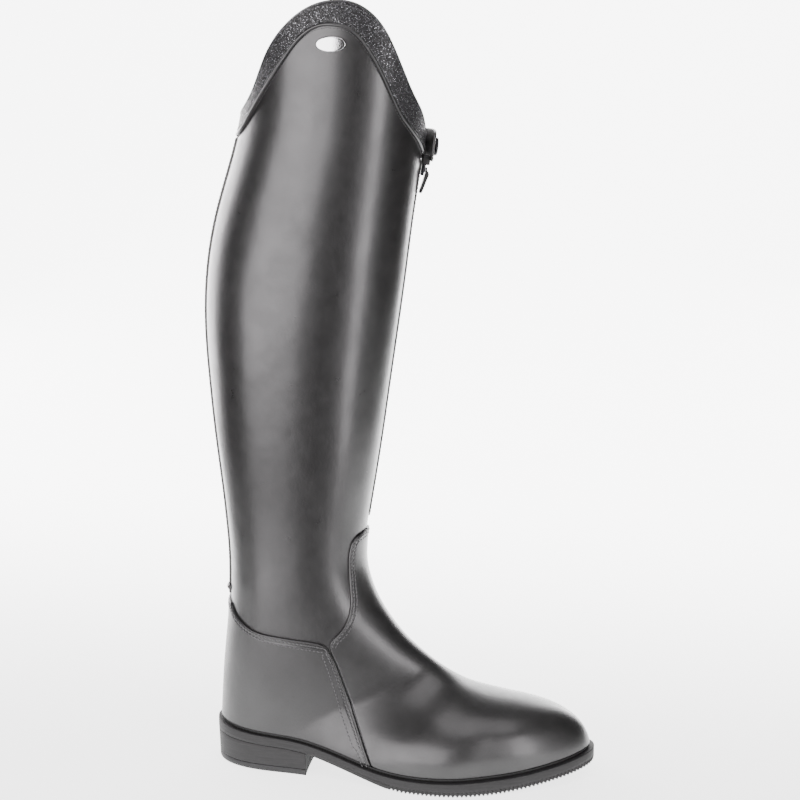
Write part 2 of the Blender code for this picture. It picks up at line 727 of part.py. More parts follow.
# Strap over the top of the zip: it starts on the medial side and ends free in front.
TAB_COLUMNS = ("angle", "middle_z", "half_height", "offset")
TAB = (
    (-68.0, 456.0, 6.0, 0.35),
    (-64.0, 456.0, 8.5, 0.35),
    (-58.0, 456.5, 9.5, 0.35),
    (-51.0, 457.0, 10.0, 0.9),
    (-44.0, 457.5, 10.3, 2.9),
    (-37.0, 458.2, 10.6, 4.6),
    (-30.0, 459.0, 10.9, 5.9),
    (-23.0, 459.6, 11.0, 6.6),
    (-16.0, 460.0, 11.0, 6.9),
    (-9.0, 460.0, 10.6, 7.0),
    (-5.0, 460.0, 8.8, 7.0),
    (-3.0, 460.0, 5.6, 7.0),
)
TAB_THICK = 1.6
tab = np.array(TAB)
tab_share = np.linspace(1.0, -1.0, 5)[:, None]
tab_rows = row_at(tab[:, 1] + tab[:, 2] * tab_share)
tab_angles = np.broadcast_to(np.radians(tab[:, 0]), tab_rows.shape)
tab_base = offset_skin(tab_rows, tab_angles, 0.0)
tab_way = offset_skin(tab_rows, tab_angles, 1.0) - tab_base
tab_low = np.broadcast_to(tab[:, 3], tab_rows.shape)[:, :, None]
add_object("closure_tab", grid_solid(tab_base + tab_way * (tab_low + TAB_THICK),
                                     tab_base + tab_way * tab_low, False), tab_look)

stud_frame = local_frame(459.5, ZIP_MIDDLE)
add_object("press_stud", plate(oval(13.0, 13.0, 20), stud_frame, 8.9, 10.9), metal)
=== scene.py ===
import math
import bmesh
import bpy
import numpy as np
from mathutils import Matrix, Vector


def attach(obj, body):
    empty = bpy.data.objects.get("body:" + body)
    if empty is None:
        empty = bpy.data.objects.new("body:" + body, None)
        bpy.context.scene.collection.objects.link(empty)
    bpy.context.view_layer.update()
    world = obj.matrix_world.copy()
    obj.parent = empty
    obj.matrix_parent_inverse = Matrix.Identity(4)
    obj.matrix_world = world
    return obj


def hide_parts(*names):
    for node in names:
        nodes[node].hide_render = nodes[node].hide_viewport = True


# Dress riding boot for the right foot: toe +X, lateral side -Y.
# Design sizes are millimetres; toRow() turns them into the frame's metres.
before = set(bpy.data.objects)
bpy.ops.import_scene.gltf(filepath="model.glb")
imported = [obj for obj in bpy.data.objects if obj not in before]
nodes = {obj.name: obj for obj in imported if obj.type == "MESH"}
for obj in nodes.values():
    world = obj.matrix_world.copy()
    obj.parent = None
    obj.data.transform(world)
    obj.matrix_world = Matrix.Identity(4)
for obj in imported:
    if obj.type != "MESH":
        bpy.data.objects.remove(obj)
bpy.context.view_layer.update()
mm = 0.001
designShift = np.array([-135.16, 1.25, 0.0])
print("frame loaded")


# shape of the last and the shaft
# same sections as the solid model, top of the shaft first, tip of the toe last
# front x, front z, back x, back z, centre y, ridge y, half width, widest place, fullness front, back
bootSections = (
    (160.0, 570.0, 33.0, 570.0, 0.0, 0.0, 50.0, 0.50, 2.2, 2.2),
    (157.0, 530.0, 29.0, 530.0, 0.0, 0.0, 51.0, 0.50, 2.2, 2.2),
    (153.5, 490.0, 25.5, 490.0, 0.0, 0.0, 51.5, 0.50, 2.2, 2.2),
    (149.0, 450.0, 16.3, 450.0, 0.0, 0.0, 51.5, 0.49, 2.2, 2.2),
    (143.0, 410.0, 4.5, 410.0, 0.0, 0.0, 51.0, 0.48, 2.2, 2.2),
    (138.0, 370.0, -3.2, 370.0, 0.0, 0.0, 50.0, 0.47, 2.2, 2.2),
    (132.5, 330.0, -5.2, 330.0, 0.0, 0.0, 48.5, 0.46, 2.2, 2.2),
    (126.6, 290.0, -3.0, 290.0, 0.0, 0.0, 46.0, 0.46, 2.2, 2.2),
    (121.0, 250.0, 0.4, 250.0, 0.0, 0.0, 43.0, 0.46, 2.2, 2.2),
    (114.6, 210.0, 5.0, 210.0, 0.0, 0.0, 40.0, 0.46, 2.2, 2.2),
    (110.6, 185.0, 7.4, 185.0, 0.0, 0.0, 38.5, 0.46, 2.2, 2.2),
    (108.6, 161.0, 9.0, 161.0, 0.0, 0.0, 37.5, 0.46, 2.2, 2.2),
    (110.8, 145.0, 9.0, 137.0, 0.0, 0.0, 37.0, 0.45, 2.1, 2.2),
    (116.2, 130.0, 8.0, 113.0, 0.0, 0.0, 36.3, 0.44, 2.0, 2.3),
    (125.2, 114.5, 5.6, 89.0, 0.0, 0.3, 35.6, 0.42, 1.9, 2.4),
    (136.2, 100.5, 3.4, 65.0, -0.2, 1.0, 34.8, 0.40, 1.8, 2.5),
    (146.5, 90.5, 1.8, 40.0, -0.5, 2.0, 33.6, 0.40, 1.8, 2.6),
    (156.0, 82.8, 2.8, 12.0, -0.8, 3.0, 32.6, 0.40, 1.8, 2.6),
    (163.0, 77.5, 20.0, 5.0, -1.2, 4.0, 33.2, 0.40, 1.8, 2.7),
    (169.5, 73.2, 50.0, 1.0, -2.2, 5.0, 35.2, 0.39, 1.85, 2.8),
    (176.0, 69.4, 84.0, -2.0, -3.6, 6.0, 39.0, 0.38, 1.9, 2.9),
    (183.0, 66.0, 118.0, -4.5, -5.2, 6.5, 43.8, 0.37, 2.0, 3.0),
    (191.0, 63.0, 149.0, -6.0, -5.2, 6.5, 47.2, 0.36, 2.0, 3.0),
    (201.5, 60.0, 177.0, -6.0, -3.8, 6.0, 47.6, 0.36, 2.1, 3.0),
    (213.5, 57.4, 200.0, -6.0, -0.5, 4.0, 44.6, 0.37, 2.2, 3.0),
    (227.0, 55.0, 220.0, -6.0, 2.6, 2.0, 40.4, 0.38, 2.3, 3.0),
    (240.0, 52.0, 237.0, -6.0, 5.2, 1.0, 34.8, 0.39, 2.3, 3.0),
    (251.0, 48.2, 250.0, -5.5, 7.2, 0.0, 28.6, 0.40, 2.2, 2.8),
    (260.0, 43.0, 259.5, -4.0, 8.4, 0.0, 22.4, 0.42, 2.1, 2.6),
    (267.0, 36.5, 266.8, -1.0, 9.4, 0.0, 16.0, 0.44, 2.0, 2.4),
    (271.8, 28.0, 271.8, 4.0, 10.0, 0.0, 9.6, 0.47, 2.0, 2.2),
    (274.3, 18.5, 274.3, 10.0, 10.2, 0.0, 4.0, 0.50, 2.0, 2.0),
)
columnNames = (
    "frontX", "frontZ", "backX", "backZ", "centreY", "ridgeY", "half", "widest", "fullFront", "fullBack",
)

soleTable = {  # height of the sole's upper face and of its underside along the foot
    "topX": (-8.0, 10.0, 40.0, 68.0, 87.0, 105.0, 122.0, 145.0, 175.0, 203.0, 230.0, 255.0, 284.0),
    "topZ": (31.3, 29.3, 27.3, 25.0, 21.0, 16.4, 12.6, 10.0, 9.9, 10.9, 13.0, 16.3, 21.5),
    "underX": (-8.0, 40.0, 72.0, 87.0, 105.0, 122.0, 136.0, 148.0, 195.0, 210.0, 230.0, 255.0, 284.0),
    "underZ": (22.4, 20.2, 17.3, 13.6, 8.8, 4.4, 1.3, 0.0, 0.0, 0.5, 2.6, 6.2, 11.4),
    "flat": (146.0, 197.0),
    "ledgeX": (0.0, 80.0, 150.0, 284.0),
    "ledge": (2.6, 2.4, 3.3, 3.3),
    "midsole": 2.2,
    "gap": 0.3,
}

# angle around the shaft (0 front, 90 lateral, 180 back), collar height, height of the cuff's lower edge
collarTable = (
    (-8.0, 470.0, 456.0), (10.0, 484.4, 464.5), (27.0, 502.0, 477.5), (40.0, 522.0, 492.0),
    (52.0, 542.0, 512.5), (64.0, 555.2, 532.0), (73.0, 560.6, 542.6), (84.0, 562.7, 546.8),
    (94.0, 561.2, 546.3), (107.0, 554.6, 536.5), (119.0, 543.5, 519.0), (132.0, 525.0, 499.5),
    (142.0, 504.5, 485.5), (150.0, 494.0, 475.5), (165.0, 485.0, 467.5), (180.0, 482.0, 464.8),
    (205.0, 485.0, 467.5), (235.0, 497.0, 479.5), (270.0, 507.0, 490.0), (300.0, 500.0, 483.5),
    (325.0, 484.5, 468.5), (340.0, 475.0, 460.0),
)

# seam lines seen from the side: x, z
counterTop = (
    (9.0, 128.0), (10.5, 125.4), (13.3, 122.0), (15.6, 118.6), (19.7, 115.0), (25.4, 111.8),
    (34.2, 108.3), (46.8, 106.4), (66.9, 104.1), (79.9, 102.0), (84.6, 100.2), (87.4, 97.3),
)
counterFront = (
    (87.4, 97.3), (89.6, 93.6), (92.2, 88.2), (98.6, 70.9),
    (107.4, 48.0), (116.0, 29.5), (123.0, 14.3), (129.0, 0.0),
)
vampEdge = (
    (112.0, 181.0), (110.6, 180.9), (107.5, 179.9), (104.3, 177.2), (102.3, 172.3), (100.9, 161.5),
    (101.2, 150.0), (102.0, 140.0), (102.7, 130.4), (101.2, 119.5), (95.9, 109.3), (89.3, 101.0),
    (89.9, 95.6), (92.8, 88.6), (99.2, 71.2), (108.0, 48.3), (116.6, 29.8), (123.6, 14.6), (129.6, 0.2),
)


def spline(knots, values):  # natural cubic spline, as a function
    x = np.asarray(knots, float)
    y = np.asarray(values, float)
    count = len(x)
    h = np.diff(x)
    rows = np.eye(count)
    right = np.zeros(count)
    for i in range(1, count - 1):
        rows[i, i - 1] = h[i - 1]
        rows[i, i] = 2.0 * (h[i - 1] + h[i])
        rows[i, i + 1] = h[i]
        right[i] = 6.0 * ((y[i + 1] - y[i]) / h[i] - (y[i] - y[i - 1]) / h[i - 1])
    bend = np.linalg.solve(rows, right)

    def value(at):
        at = np.asarray(at, float)
        i = np.clip(np.searchsorted(x, at) - 1, 0, count - 2)
        before = x[i + 1] - at
        after = at - x[i]
        base = (bend[i] * before ** 3 + bend[i + 1] * after ** 3) / (6.0 * h[i])
        base = base + (y[i] / h[i] - bend[i] * h[i] / 6.0) * before
        return base + (y[i + 1] / h[i] - bend[i + 1] * h[i] / 6.0) * after

    return value


fits = {name: spline(range(len(bootSections)), [row[i] for row in bootSections])
        for i, name in enumerate(columnNames)}
lastRow = len(bootSections) - 1


def skin(u, a):  # points of the leather at row u and angle a
    u, a = np.broadcast_arrays(np.asarray(u, float), np.asarray(a, float))
    v = {name: fit(u) for name, fit in fits.items()}
    c = np.cos(a)
    ahead = c >= 0
    part = np.where(ahead, v["widest"] + (1.0 - v["widest"]) * c, v["widest"] * (1.0 + c))
    power = np.where(ahead, v["fullFront"], v["fullBack"])
    wide = np.sqrt(np.clip(1.0 - np.abs(c) ** power, 0.0, 1.0))
    side = np.where(np.sin(a) >= 0, -1.0, 1.0)
    x = v["backX"] + (v["frontX"] - v["backX"]) * part
    y = v["centreY"] + v["ridgeY"] * np.clip(c, 0.0, 1.0) ** 2 + side * v["half"] * wide
    z = v["backZ"] + (v["frontZ"] - v["backZ"]) * part
    return np.stack([x, y, z], -1)


def skinNormal(u, a):
    step = 0.02
    n = np.cross(skin(u + step, a) - skin(u - step, a), skin(u, a + step) - skin(u, a - step))
    n = n / np.maximum(np.linalg.norm(n, axis=-1, keepdims=True), 1e-9)
    middle = np.stack([0.5 * (fits["frontX"](u) + fits["backX"](u)), fits["centreY"](u),
                       0.5 * (fits["frontZ"](u) + fits["backZ"](u))], -1)
    facing = np.sum((skin(u, a) - middle) * n, -1, keepdims=True)
    return np.where(facing < 0, -n, n)


def onSkin(u, a, lift):  # lift may be a number or one value per point
    u, a = np.broadcast_arrays(np.asarray(u, float), np.asarray(a, float))
    lift = np.broadcast_to(np.asarray(lift, float), u.shape)
    return skin(u, a) + skinNormal(u, a) * lift[..., None]


fineU = np.linspace(0.0, 14.0, 1401)
fineBackZ = fits["backZ"](fineU)


def rowAt(z):  # row of the section whose back point is at height z
    return np.interp(-np.asarray(z, float), -fineBackZ, fineU)


def along(xs, zs):
    fit = spline(xs, zs)
    return lambda x: fit(np.clip(x, xs[0], xs[-1]))


soleTop = along(soleTable["topX"], soleTable["topZ"])
fineX = np.linspace(-8.0, 284.0, 1169)
fineUnder = np.clip(along(soleTable["underX"], soleTable["underZ"])(fineX), 0.0, 99.0)
fineUnder[(fineX > soleTable["flat"][0]) & (fineX < soleTable["flat"][1])] = 0.0


def soleUnder(x):
    return np.interp(np.asarray(x, float), fineX, fineUnder)


def rim(x):  # where the leather's lower edge meets the midsole
    return soleTop(x) + soleTable["midsole"] + soleTable["gap"]


def collarFit(column):
    knots = [math.radians(row[0] + turn) for turn in (-360.0, 0.0, 360.0) for row in collarTable]
    return spline(knots, [row[column] for turn in range(3) for row in collarTable])


collarZ = collarFit(1)
cuffEdgeZ = collarFit(2)


def partToAngle(u, part):
    widest = fits["widest"](u)
    c = np.where(part < widest, part / widest - 1.0, (part - widest) / (1.0 - widest))
    return np.arccos(np.clip(c, -1.0, 1.0))


def featherAngle(u):  # angle at which row u reaches the midsole
    part = np.linspace(0.0, 1.0, 801)
    found = []
    for one in np.atleast_1d(u):
        x = fits["backX"](one) + (fits["frontX"](one) - fits["backX"](one)) * part
        z = fits["backZ"](one) + (fits["frontZ"](one) - fits["backZ"](one)) * part
        over = z - rim(x)
        if over[0] > 0.0:
            found.append(math.pi)
        elif over[-1] < 0.0:
            found.append(0.0)
        else:
            k = int(np.argmax(over > 0.0))
            share = over[k - 1] / (over[k - 1] - over[k])
            found.append(float(partToAngle(one, part[k - 1] + share * (part[k] - part[k - 1]))))
    return np.array(found)


def sideToSkin(x, z):  # row and angle of a point given in side view
    u = np.linspace(0.0, float(lastRow), 6201)
    ax, az, bx, bz = fits["frontX"](u), fits["frontZ"](u), fits["backX"](u), fits["backZ"](u)
    cross = (ax - bx) * (z - bz) - (az - bz) * (x - bx)
    size = (ax - bx) ** 2 + (az - bz) ** 2
    part = ((ax - bx) * (x - bx) + (az - bz) * (z - bz)) / size
    best = None
    for k in np.where(np.sign(cross[:-1]) != np.sign(cross[1:]))[0]:
        if -0.06 < part[k] < 1.08 and best is None:
            share = cross[k] / (cross[k] - cross[k + 1])
            best = (u[k] + share * (u[k + 1] - u[k]), part[k] + share * (part[k + 1] - part[k]))
    return best[0], float(partToAngle(best[0], min(max(best[1], 0.0), 1.0)))


def smoothLine(points, count):  # points in side view to rows and angles on the skin
    p = np.array(points, float)
    run = np.concatenate([[0.0], np.cumsum(np.linalg.norm(np.diff(p, axis=0), axis=1))])
    at = np.linspace(0.0, run[-1], count)
    xs = spline(run, p[:, 0])(at)
    zs = spline(run, p[:, 1])(at)
    return np.array([sideToSkin(x, z) for x, z in zip(xs, zs)])


scanU = np.linspace(15.5, 31.0, 1551)
scanFeather = featherAngle(scanU)
backRow = float(scanU[np.argmax(scanFeather < math.pi - 1e-6)]) - 0.01
tipRow = float(scanU[np.argmax(scanFeather <= 1e-6)]) - 0.012
print("last: leather meets the sole from row %.2f to %.2f" % (backRow, tipRow))


# mesh helpers
def toRow(points):
    return (np.asarray(points, float) + designShift) * mm


def meshObject(name, verts, faces, material, smooth=True, recalc=True):
    mesh = bpy.data.meshes.new(name)
    mesh.from_pydata([tuple(v) for v in verts], [], [tuple(f) for f in faces])
    bm = bmesh.new()
    bm.from_mesh(mesh)
    bmesh.ops.remove_doubles(bm, verts=bm.verts, dist=0.00002)
    if recalc:
        bmesh.ops.recalc_face_normals(bm, faces=bm.faces)
    bm.to_mesh(mesh)
    bm.free()
    if smooth:
        mesh.polygons.foreach_set("use_smooth", [True] * len(mesh.polygons))
    mesh.materials.append(material)
    obj = bpy.data.objects.new(name, mesh)
    bpy.context.scene.collection.objects.link(obj)
    return obj


def gridFaces(rows, cols, start=0, wrap=False):
    i = np.arange(rows - 1)[:, None]
    j = np.arange(cols if wrap else cols - 1)[None, :]
    k = (j + 1) % cols
    a = start + i * cols + j
    b = start + i * cols + k
    return np.stack([a, b, b + cols, a + cols], -1).reshape(-1, 4).tolist()


def doubleSheet(outer, inner, wrap=False, closeRows=(True, True), closeCols=None):
    # two matching grids joined along their borders into one closed skin
    rows, cols = outer.shape[:2]
    verts = np.concatenate([outer.reshape(-1, 3), inner.reshape(-1, 3)])
    shift = rows * cols
    faces = gridFaces(rows, cols, 0, wrap) + gridFaces(rows, cols, shift, wrap)
    last = cols if wrap else cols - 1
    for used, i in zip(closeRows, (0, rows - 1)):
        if used:
            for j in range(last):
                k = (j + 1) % cols
                faces.append((i * cols + j, i * cols + k, shift + i * cols + k, shift + i * cols + j))
    if not wrap:
        wanted = np.ones(rows - 1, bool) if closeCols is None else closeCols
        for j in (0, cols - 1):
            for i in np.where(wanted)[0]:
                a, b = int(i) * cols + j, (int(i) + 1) * cols + j
                faces.append((a, b, shift + b, shift + a))
    return verts, faces


def rounded(d, radius):  # height share of a rolled edge at distance d from it
    share = np.clip(np.asarray(d, float) / radius, 0.0, 1.0)
    return np.sqrt(1.0 - (1.0 - share) ** 2)


seamRows = (1.9, 4.3)   # mm from a seam to its two rows of stitches
troughDepth = 0.34
troughWide = 0.34
seamSteps = (           # mm from a seam to the grid lines beside it, closer at its edge and rows
    0.0, 0.06, 0.16, 0.32, 0.55, 0.9, 1.25, 1.55, 1.75, 1.9, 2.05, 2.25, 2.6, 3.2, 3.75, 4.1, 4.3, 4.5, 4.85, 5.6,
)


def seamGroove(d):  # shallow troughs in which the two rows of stitches lie
    d = np.asarray(d, float)
    return -troughDepth * sum(np.exp(-((d - row) / troughWide) ** 2) for row in seamRows)


def edgeSteps(length, fine, count):  # 0 to 1 along a run, with fine steps (mm) at both ends
    fine = np.asarray(fine, float)
    inside = np.linspace(fine[-1], length - fine[-1], count)
    steps = np.concatenate([fine, inside[1:-1], length - fine[::-1]])
    return steps / length


def runLength(points):
    return np.concatenate([[0.0], np.cumsum(np.linalg.norm(np.diff(points, axis=0), axis=-1))])


# shader helpers
class Sock:  # an output socket with arithmetic
    def __init__(self, tree, socket):
        self.tree = tree
        self.socket = socket

    def math(self, kind, other=None, flip=False):
        node = self.tree.nodes.new("ShaderNodeMath")
        node.operation = kind
        for i, value in enumerate((other, self) if flip else (self, other)):
            if value is not None:
                connect(self.tree, value, node.inputs[i])
        return Sock(self.tree, node.outputs[0])

    def __add__(self, other):
        return self.math("ADD", other)

    def __radd__(self, other):
        return self.math("ADD", other)

    def __sub__(self, other):
        return self.math("SUBTRACT", other)

    def __rsub__(self, other):
        return self.math("SUBTRACT", other, flip=True)

    def __mul__(self, other):
        return self.math("MULTIPLY", other)

    def __rmul__(self, other):
        return self.math("MULTIPLY", other)


def connect(tree, value, socket):
    if isinstance(value, Sock):
        tree.links.new(value.socket, socket)
    else:
        socket.default_value = value


class Shader:  # one material with a Principled shader
    def __init__(self, name, **fixed):
        self.mat = bpy.data.materials.new(name)
        self.mat.use_nodes = True
        self.tree = self.mat.node_tree
        self.bsdf = self.tree.nodes["Principled BSDF"]
        for key, value in fixed.items():
            self.set(key, value)

    def set(self, key, value):
        names = {"color": "Base Color", "roughness": "Roughness", "metallic": "Metallic", "coat": "Coat Weight",
                 "coatRoughness": "Coat Roughness", "specular": "Specular IOR Level", "sheen": "Sheen Weight",
                 "sheenRoughness": "Sheen Roughness", "normal": "Normal"}
        connect(self.tree, value, self.bsdf.inputs[names[key]])

    def node(self, kind, settings=None, output=0, **values):
        node = self.tree.nodes.new(kind)
        for key, value in (settings or {}).items():
            setattr(node, key, value)
        for key, value in values.items():
            connect(self.tree, value, node.inputs[key.replace("_", " ")])
        return Sock(self.tree, node.outputs[output])

    def place(self):  # position on the piece, in millimetres
        where = self.node("ShaderNodeTexCoord", output=3)
        return self.node("ShaderNodeVectorMath", {"operation": "SCALE"}, Vector=where, Scale=1000.0)

    def noise(self, where, scale, detail=2.0, roughness=0.5, distortion=0.0):
        return self.node("ShaderNodeTexNoise", Vector=where, Scale=scale, Detail=detail, Roughness=roughness,
                         Distortion=distortion)

    def cells(self, where, scale, feature="F1", output=0, randomness=1.0):
        return self.node("ShaderNodeTexVoronoi", {"feature": feature}, output=output, Vector=where, Scale=scale,
                         Randomness=randomness)

    def ramp(self, value, low, high, outLow=0.0, outHigh=1.0):
        node = self.tree.nodes.new("ShaderNodeMapRange")
        node.interpolation_type = "SMOOTHSTEP"
        for key, number in (("From Min", low), ("From Max", high), ("To Min", outLow), ("To Max", outHigh)):
            node.inputs[key].default_value = number
        connect(self.tree, value, node.inputs["Value"])
        return Sock(self.tree, node.outputs[0])

    def mix(self, factor, first, second):  # colours
        node = self.tree.nodes.new("ShaderNodeMix")
        node.data_type = "RGBA"
        connect(self.tree, factor, node.inputs[0])
        connect(self.tree, first, node.inputs[6])
        connect(self.tree, second, node.inputs[7])
        return Sock(self.tree, node.outputs[2])

    def bump(self, height, distance, strength=1.0, under=None):
        node = self.tree.nodes.new("ShaderNodeBump")
        node.inputs["Strength"].default_value = strength
        node.inputs["Distance"].default_value = distance
        connect(self.tree, height, node.inputs["Height"])
        if under is not None:
            connect(self.tree, under, node.inputs["Normal"])
        return Sock(self.tree, node.outputs[0])

    def parts(self, vector):
        node = self.tree.nodes.new("ShaderNodeSeparateXYZ")
        connect(self.tree, vector, node.inputs[0])
        return [Sock(self.tree, node.outputs[i]) for i in range(3)]

    def join(self, x, y, z):
        node = self.tree.nodes.new("ShaderNodeCombineXYZ")
        for i, value in enumerate((x, y, z)):
            connect(self.tree, value, node.inputs[i])
        return Sock(self.tree, node.outputs[0])


# materials
leatherLook = {
    "base": (0.0068, 0.0066, 0.0068, 1.0),
    "high": (0.0125, 0.0120, 0.0120, 1.0),
    "roughness": 0.31,
    "coat": 0.45,
    "coatRoughness": 0.24,
    "grain": 0.95,      # cells per millimetre
    "grainDepth": 0.00003,
    "wave": 0.045,      # slow unevenness per millimetre
    "waveDepth": 0.00045,
}


def leatherShader(name, **change):
    look = dict(leatherLook, **change)
    s = Shader(name, specular=0.5, coatRoughness=look["coatRoughness"])
    at = s.place()
    bent = s.node("ShaderNodeVectorMath", {"operation": "ADD"}, Vector=at)
    wobble = s.node("ShaderNodeTexNoise", output=1, Vector=at, Scale=0.35, Detail=2.0)
    s.tree.links.new(wobble.socket, bent.socket.node.inputs[1])
    slow = s.noise(at, look["wave"], 2.0, 0.45)
    medium = s.noise(at, 0.12, 3.0, 0.5)
    pores = s.cells(bent, look["grain"], "DISTANCE_TO_EDGE")
    creased = s.ramp(pores, 0.0, 0.16)
    fine = s.noise(at, look["grain"] * 2.6, 3.0, 0.6)
    s.set("color", s.mix(medium.math("MULTIPLY", creased * 0.6 + 0.4), look["base"], look["high"]))
    s.set("roughness", (medium - 0.5) * 0.16 + (1.0 - creased) * 0.10 + look["roughness"])
    s.set("coat", (s.ramp(slow, 0.32, 0.68) * 0.35 + 0.75) * look["coat"])
    wide = s.bump(slow, look["waveDepth"])
    grain = s.bump(creased * 0.65 + fine * 0.35, look["grainDepth"], 1.0, wide)
    s.set("normal", grain)
    return s.mat


def cuffShader():  # coarse cracked grain that glitters
    s = Shader("cuffGlitter", specular=0.30, coatRoughness=0.22)
    at = s.place()
    wobble = s.node("ShaderNodeTexNoise", output=1, Vector=at, Scale=0.6, Detail=2.0)
    bent = s.node("ShaderNodeVectorMath", {"operation": "ADD"}, Vector=at)
    s.tree.links.new(wobble.socket, bent.socket.node.inputs[1])
    chips = s.cells(bent, 0.62, "DISTANCE_TO_EDGE")
    tint = s.cells(bent, 0.62, "F1", 1)
    shade = s.parts(tint)
    dots = s.cells(at, 1.9)
    spark = s.parts(s.cells(at, 1.9, "F1", 1))
    body = s.ramp(chips, 0.01, 0.11)
    fleck = s.ramp(dots, 0.42, 0.20) * s.ramp(spark[0], 0.74, 0.80)
    s.set("color", s.mix(fleck, s.mix(shade[0] * body, (0.006, 0.006, 0.0065, 1.0), (0.030, 0.030, 0.032, 1.0)),
                         (0.75, 0.76, 0.80, 1.0)))
    s.set("metallic", fleck * 0.9)
    s.set("roughness", 0.52 - shade[1] * 0.20 - fleck * 0.15 + (1.0 - body) * 0.2)
    s.set("coat", body * 0.10)
    facets = body * (shade[2] * 0.5 + 0.5) + s.noise(at, 1.4, 2.0) * 0.4
    s.set("normal", s.bump(facets, 0.00045))
    return s.mat


def clothShader(name, low, high, pitch=0.7, turn=0.0):
    s = Shader(name, specular=0.3, sheen=0.15, sheenRoughness=0.4)
    at = s.place()
    x, y, z = s.parts(at)
    warp = (z * (math.pi / pitch)).math("SINE")
    weft = ((x - y) * (math.pi / pitch)).math("SINE")
    weave = (warp * weft) * 0.5 + 0.5
    fuzz = s.noise(at, 1.6, 3.0, 0.6)
    s.set("color", s.mix(weave * 0.6 + fuzz * 0.4, low, high))
    s.set("roughness", fuzz * 0.15 + 0.68)
    s.set("normal", s.bump(weave * 0.7 + fuzz * 0.3, 0.00018))
    return s.mat


def rubberShader(name, base, high, roughness, streaks=0.0):
    s = Shader(name, specular=0.32)
    at = s.place()
    x, y, z = s.parts(at)
    mottled = s.noise(at, 0.5, 4.0, 0.6)
    fine = s.noise(at, 3.2, 2.0, 0.6)
    layered = s.noise(s.join(x * 0.06, y * 0.06, z * 1.6), 1.0, 2.0, 0.5)
    tone = mottled * (1.0 - streaks) + layered * streaks
    s.set("color", s.mix(s.ramp(tone, 0.3, 0.7), base, high))
    s.set("roughness", (mottled - 0.5) * 0.2 + roughness)
    s.set("normal", s.bump(fine * 0.5 + layered * 0.5, 0.00012))
    return s.mat


def metalShader(name, base, high, roughness, metallic=1.0, coat=0.2):
    s = Shader(name, coatRoughness=0.15)
    at = s.place()
    brushed = s.noise(at, 1.1, 3.0, 0.6)
    worn = s.noise(at, 0.25, 2.0, 0.5)
    s.set("color", s.mix(brushed, base, high))
    s.set("metallic", s.ramp(worn, 0.2, 0.4, metallic * 0.9, metallic))
    s.set("roughness", (brushed - 0.5) * 0.12 + roughness)
    s.set("coat", s.ramp(worn, 0.3, 0.7, coat * 0.6, coat))
    s.set("normal", s.bump(brushed, 0.00003))
    return s.mat


def threadShader(name, low, high):
    s = Shader(name, specular=0.4, sheen=0.2)
    at = s.place()
    x, y, z = s.parts(at)
    twistAndGlint = ((x + y + z) * 9.0).math("SINE") * 0.5 + 0.5
    # the lighter stripes in the thread colour are painted glints; the twist itself is real and also shapes the
    # roughness and bump
    s.set("color", s.mix(twistAndGlint, low, high))
    s.set("roughness", twistAndGlint * 0.1 + 0.45)
    s.set("normal", s.bump(twistAndGlint, 0.00006))
    return s.mat


smoothLeather = leatherShader("smoothLeather")
vampLeather = leatherShader("vampLeather", roughness=0.36, coat=0.42, waveDepth=0.00025)
counterLeather = leatherShader("counterLeather", roughness=0.38, coat=0.32, waveDepth=0.0003)
stripLeather = leatherShader("stripLeather", roughness=0.42, coat=0.30, wave=0.09)
tabLeather = leatherShader("tabLeather", roughness=0.42, coat=0.30, wave=0.08)
pipingLeather = leatherShader("pipingLeather", roughness=0.36, coat=0.40, waveDepth=0.0003)
cuffLeather = cuffShader()
rimLeather = leatherShader("rimLeather", base=(0.030, 0.029, 0.029, 1.0), high=(0.055, 0.053, 0.052, 1.0),
                           roughness=0.5)
liningLeather = leatherShader("liningLeather", base=(0.016, 0.015, 0.015, 1.0), high=(0.032, 0.030, 0.029, 1.0),
                              roughness=0.62, coat=0.0, grainDepth=0.00009)
sockLeather = leatherShader("sockLeather", base=(0.020, 0.019, 0.018, 1.0), high=(0.038, 0.036, 0.034, 1.0),
                            roughness=0.66, coat=0.0)
tapeCloth = clothShader("tapeCloth", (0.006, 0.006, 0.007, 1.0), (0.020, 0.020, 0.022, 1.0))
blackMetal = metalShader("blackMetal", (0.020, 0.020, 0.022, 1.0), (0.045, 0.045, 0.048, 1.0), 0.30)
teethMetal = metalShader("teethMetal", (0.030, 0.030, 0.033, 1.0), (0.065, 0.065, 0.070, 1.0), 0.34)
plateMetal = metalShader("plateMetal", (0.62, 0.62, 0.63, 1.0), (0.74, 0.74, 0.75, 1.0), 0.16)
# heel breast rubber: darker than the heel rubber as painted shade, for the shadow under the shank
breastShadeRubber = rubberShader("breastShadeRubber", (0.004, 0.004, 0.004, 1.0), (0.008, 0.008, 0.008, 1.0), 0.85, 0.5)
soleRubber = rubberShader("soleRubber", (0.010, 0.010, 0.0105, 1.0), (0.021, 0.021, 0.022, 1.0), 0.56, 0.3)
edgeRubber = rubberShader("edgeRubber", (0.009, 0.0088, 0.009, 1.0), (0.018, 0.0175, 0.018, 1.0), 0.62, 0.6)
midsoleLeather = rubberShader("midsoleLeather", (0.007, 0.007, 0.007, 1.0), (0.013, 0.013, 0.013, 1.0), 0.55, 0.5)
# black thread; the lighter colour along its twist is a painted highlight
seamThread = threadShader("seamThread", (0.018, 0.018, 0.019, 1.0), (0.085, 0.084, 0.086, 1.0))
print("materials ready")


# upper: one shell from the collar to the sole
upperValues = {
    "columns": 200,
    "collarRows": 30,       # between the collar and the row below it
    "baseRow": 5.0,
    "shaftRows": 66,
    "footRows": 110,
    "wall": 2.0,
    "rimRound": 0.8,
    "creaseDepth": 0.34,    # mm
}

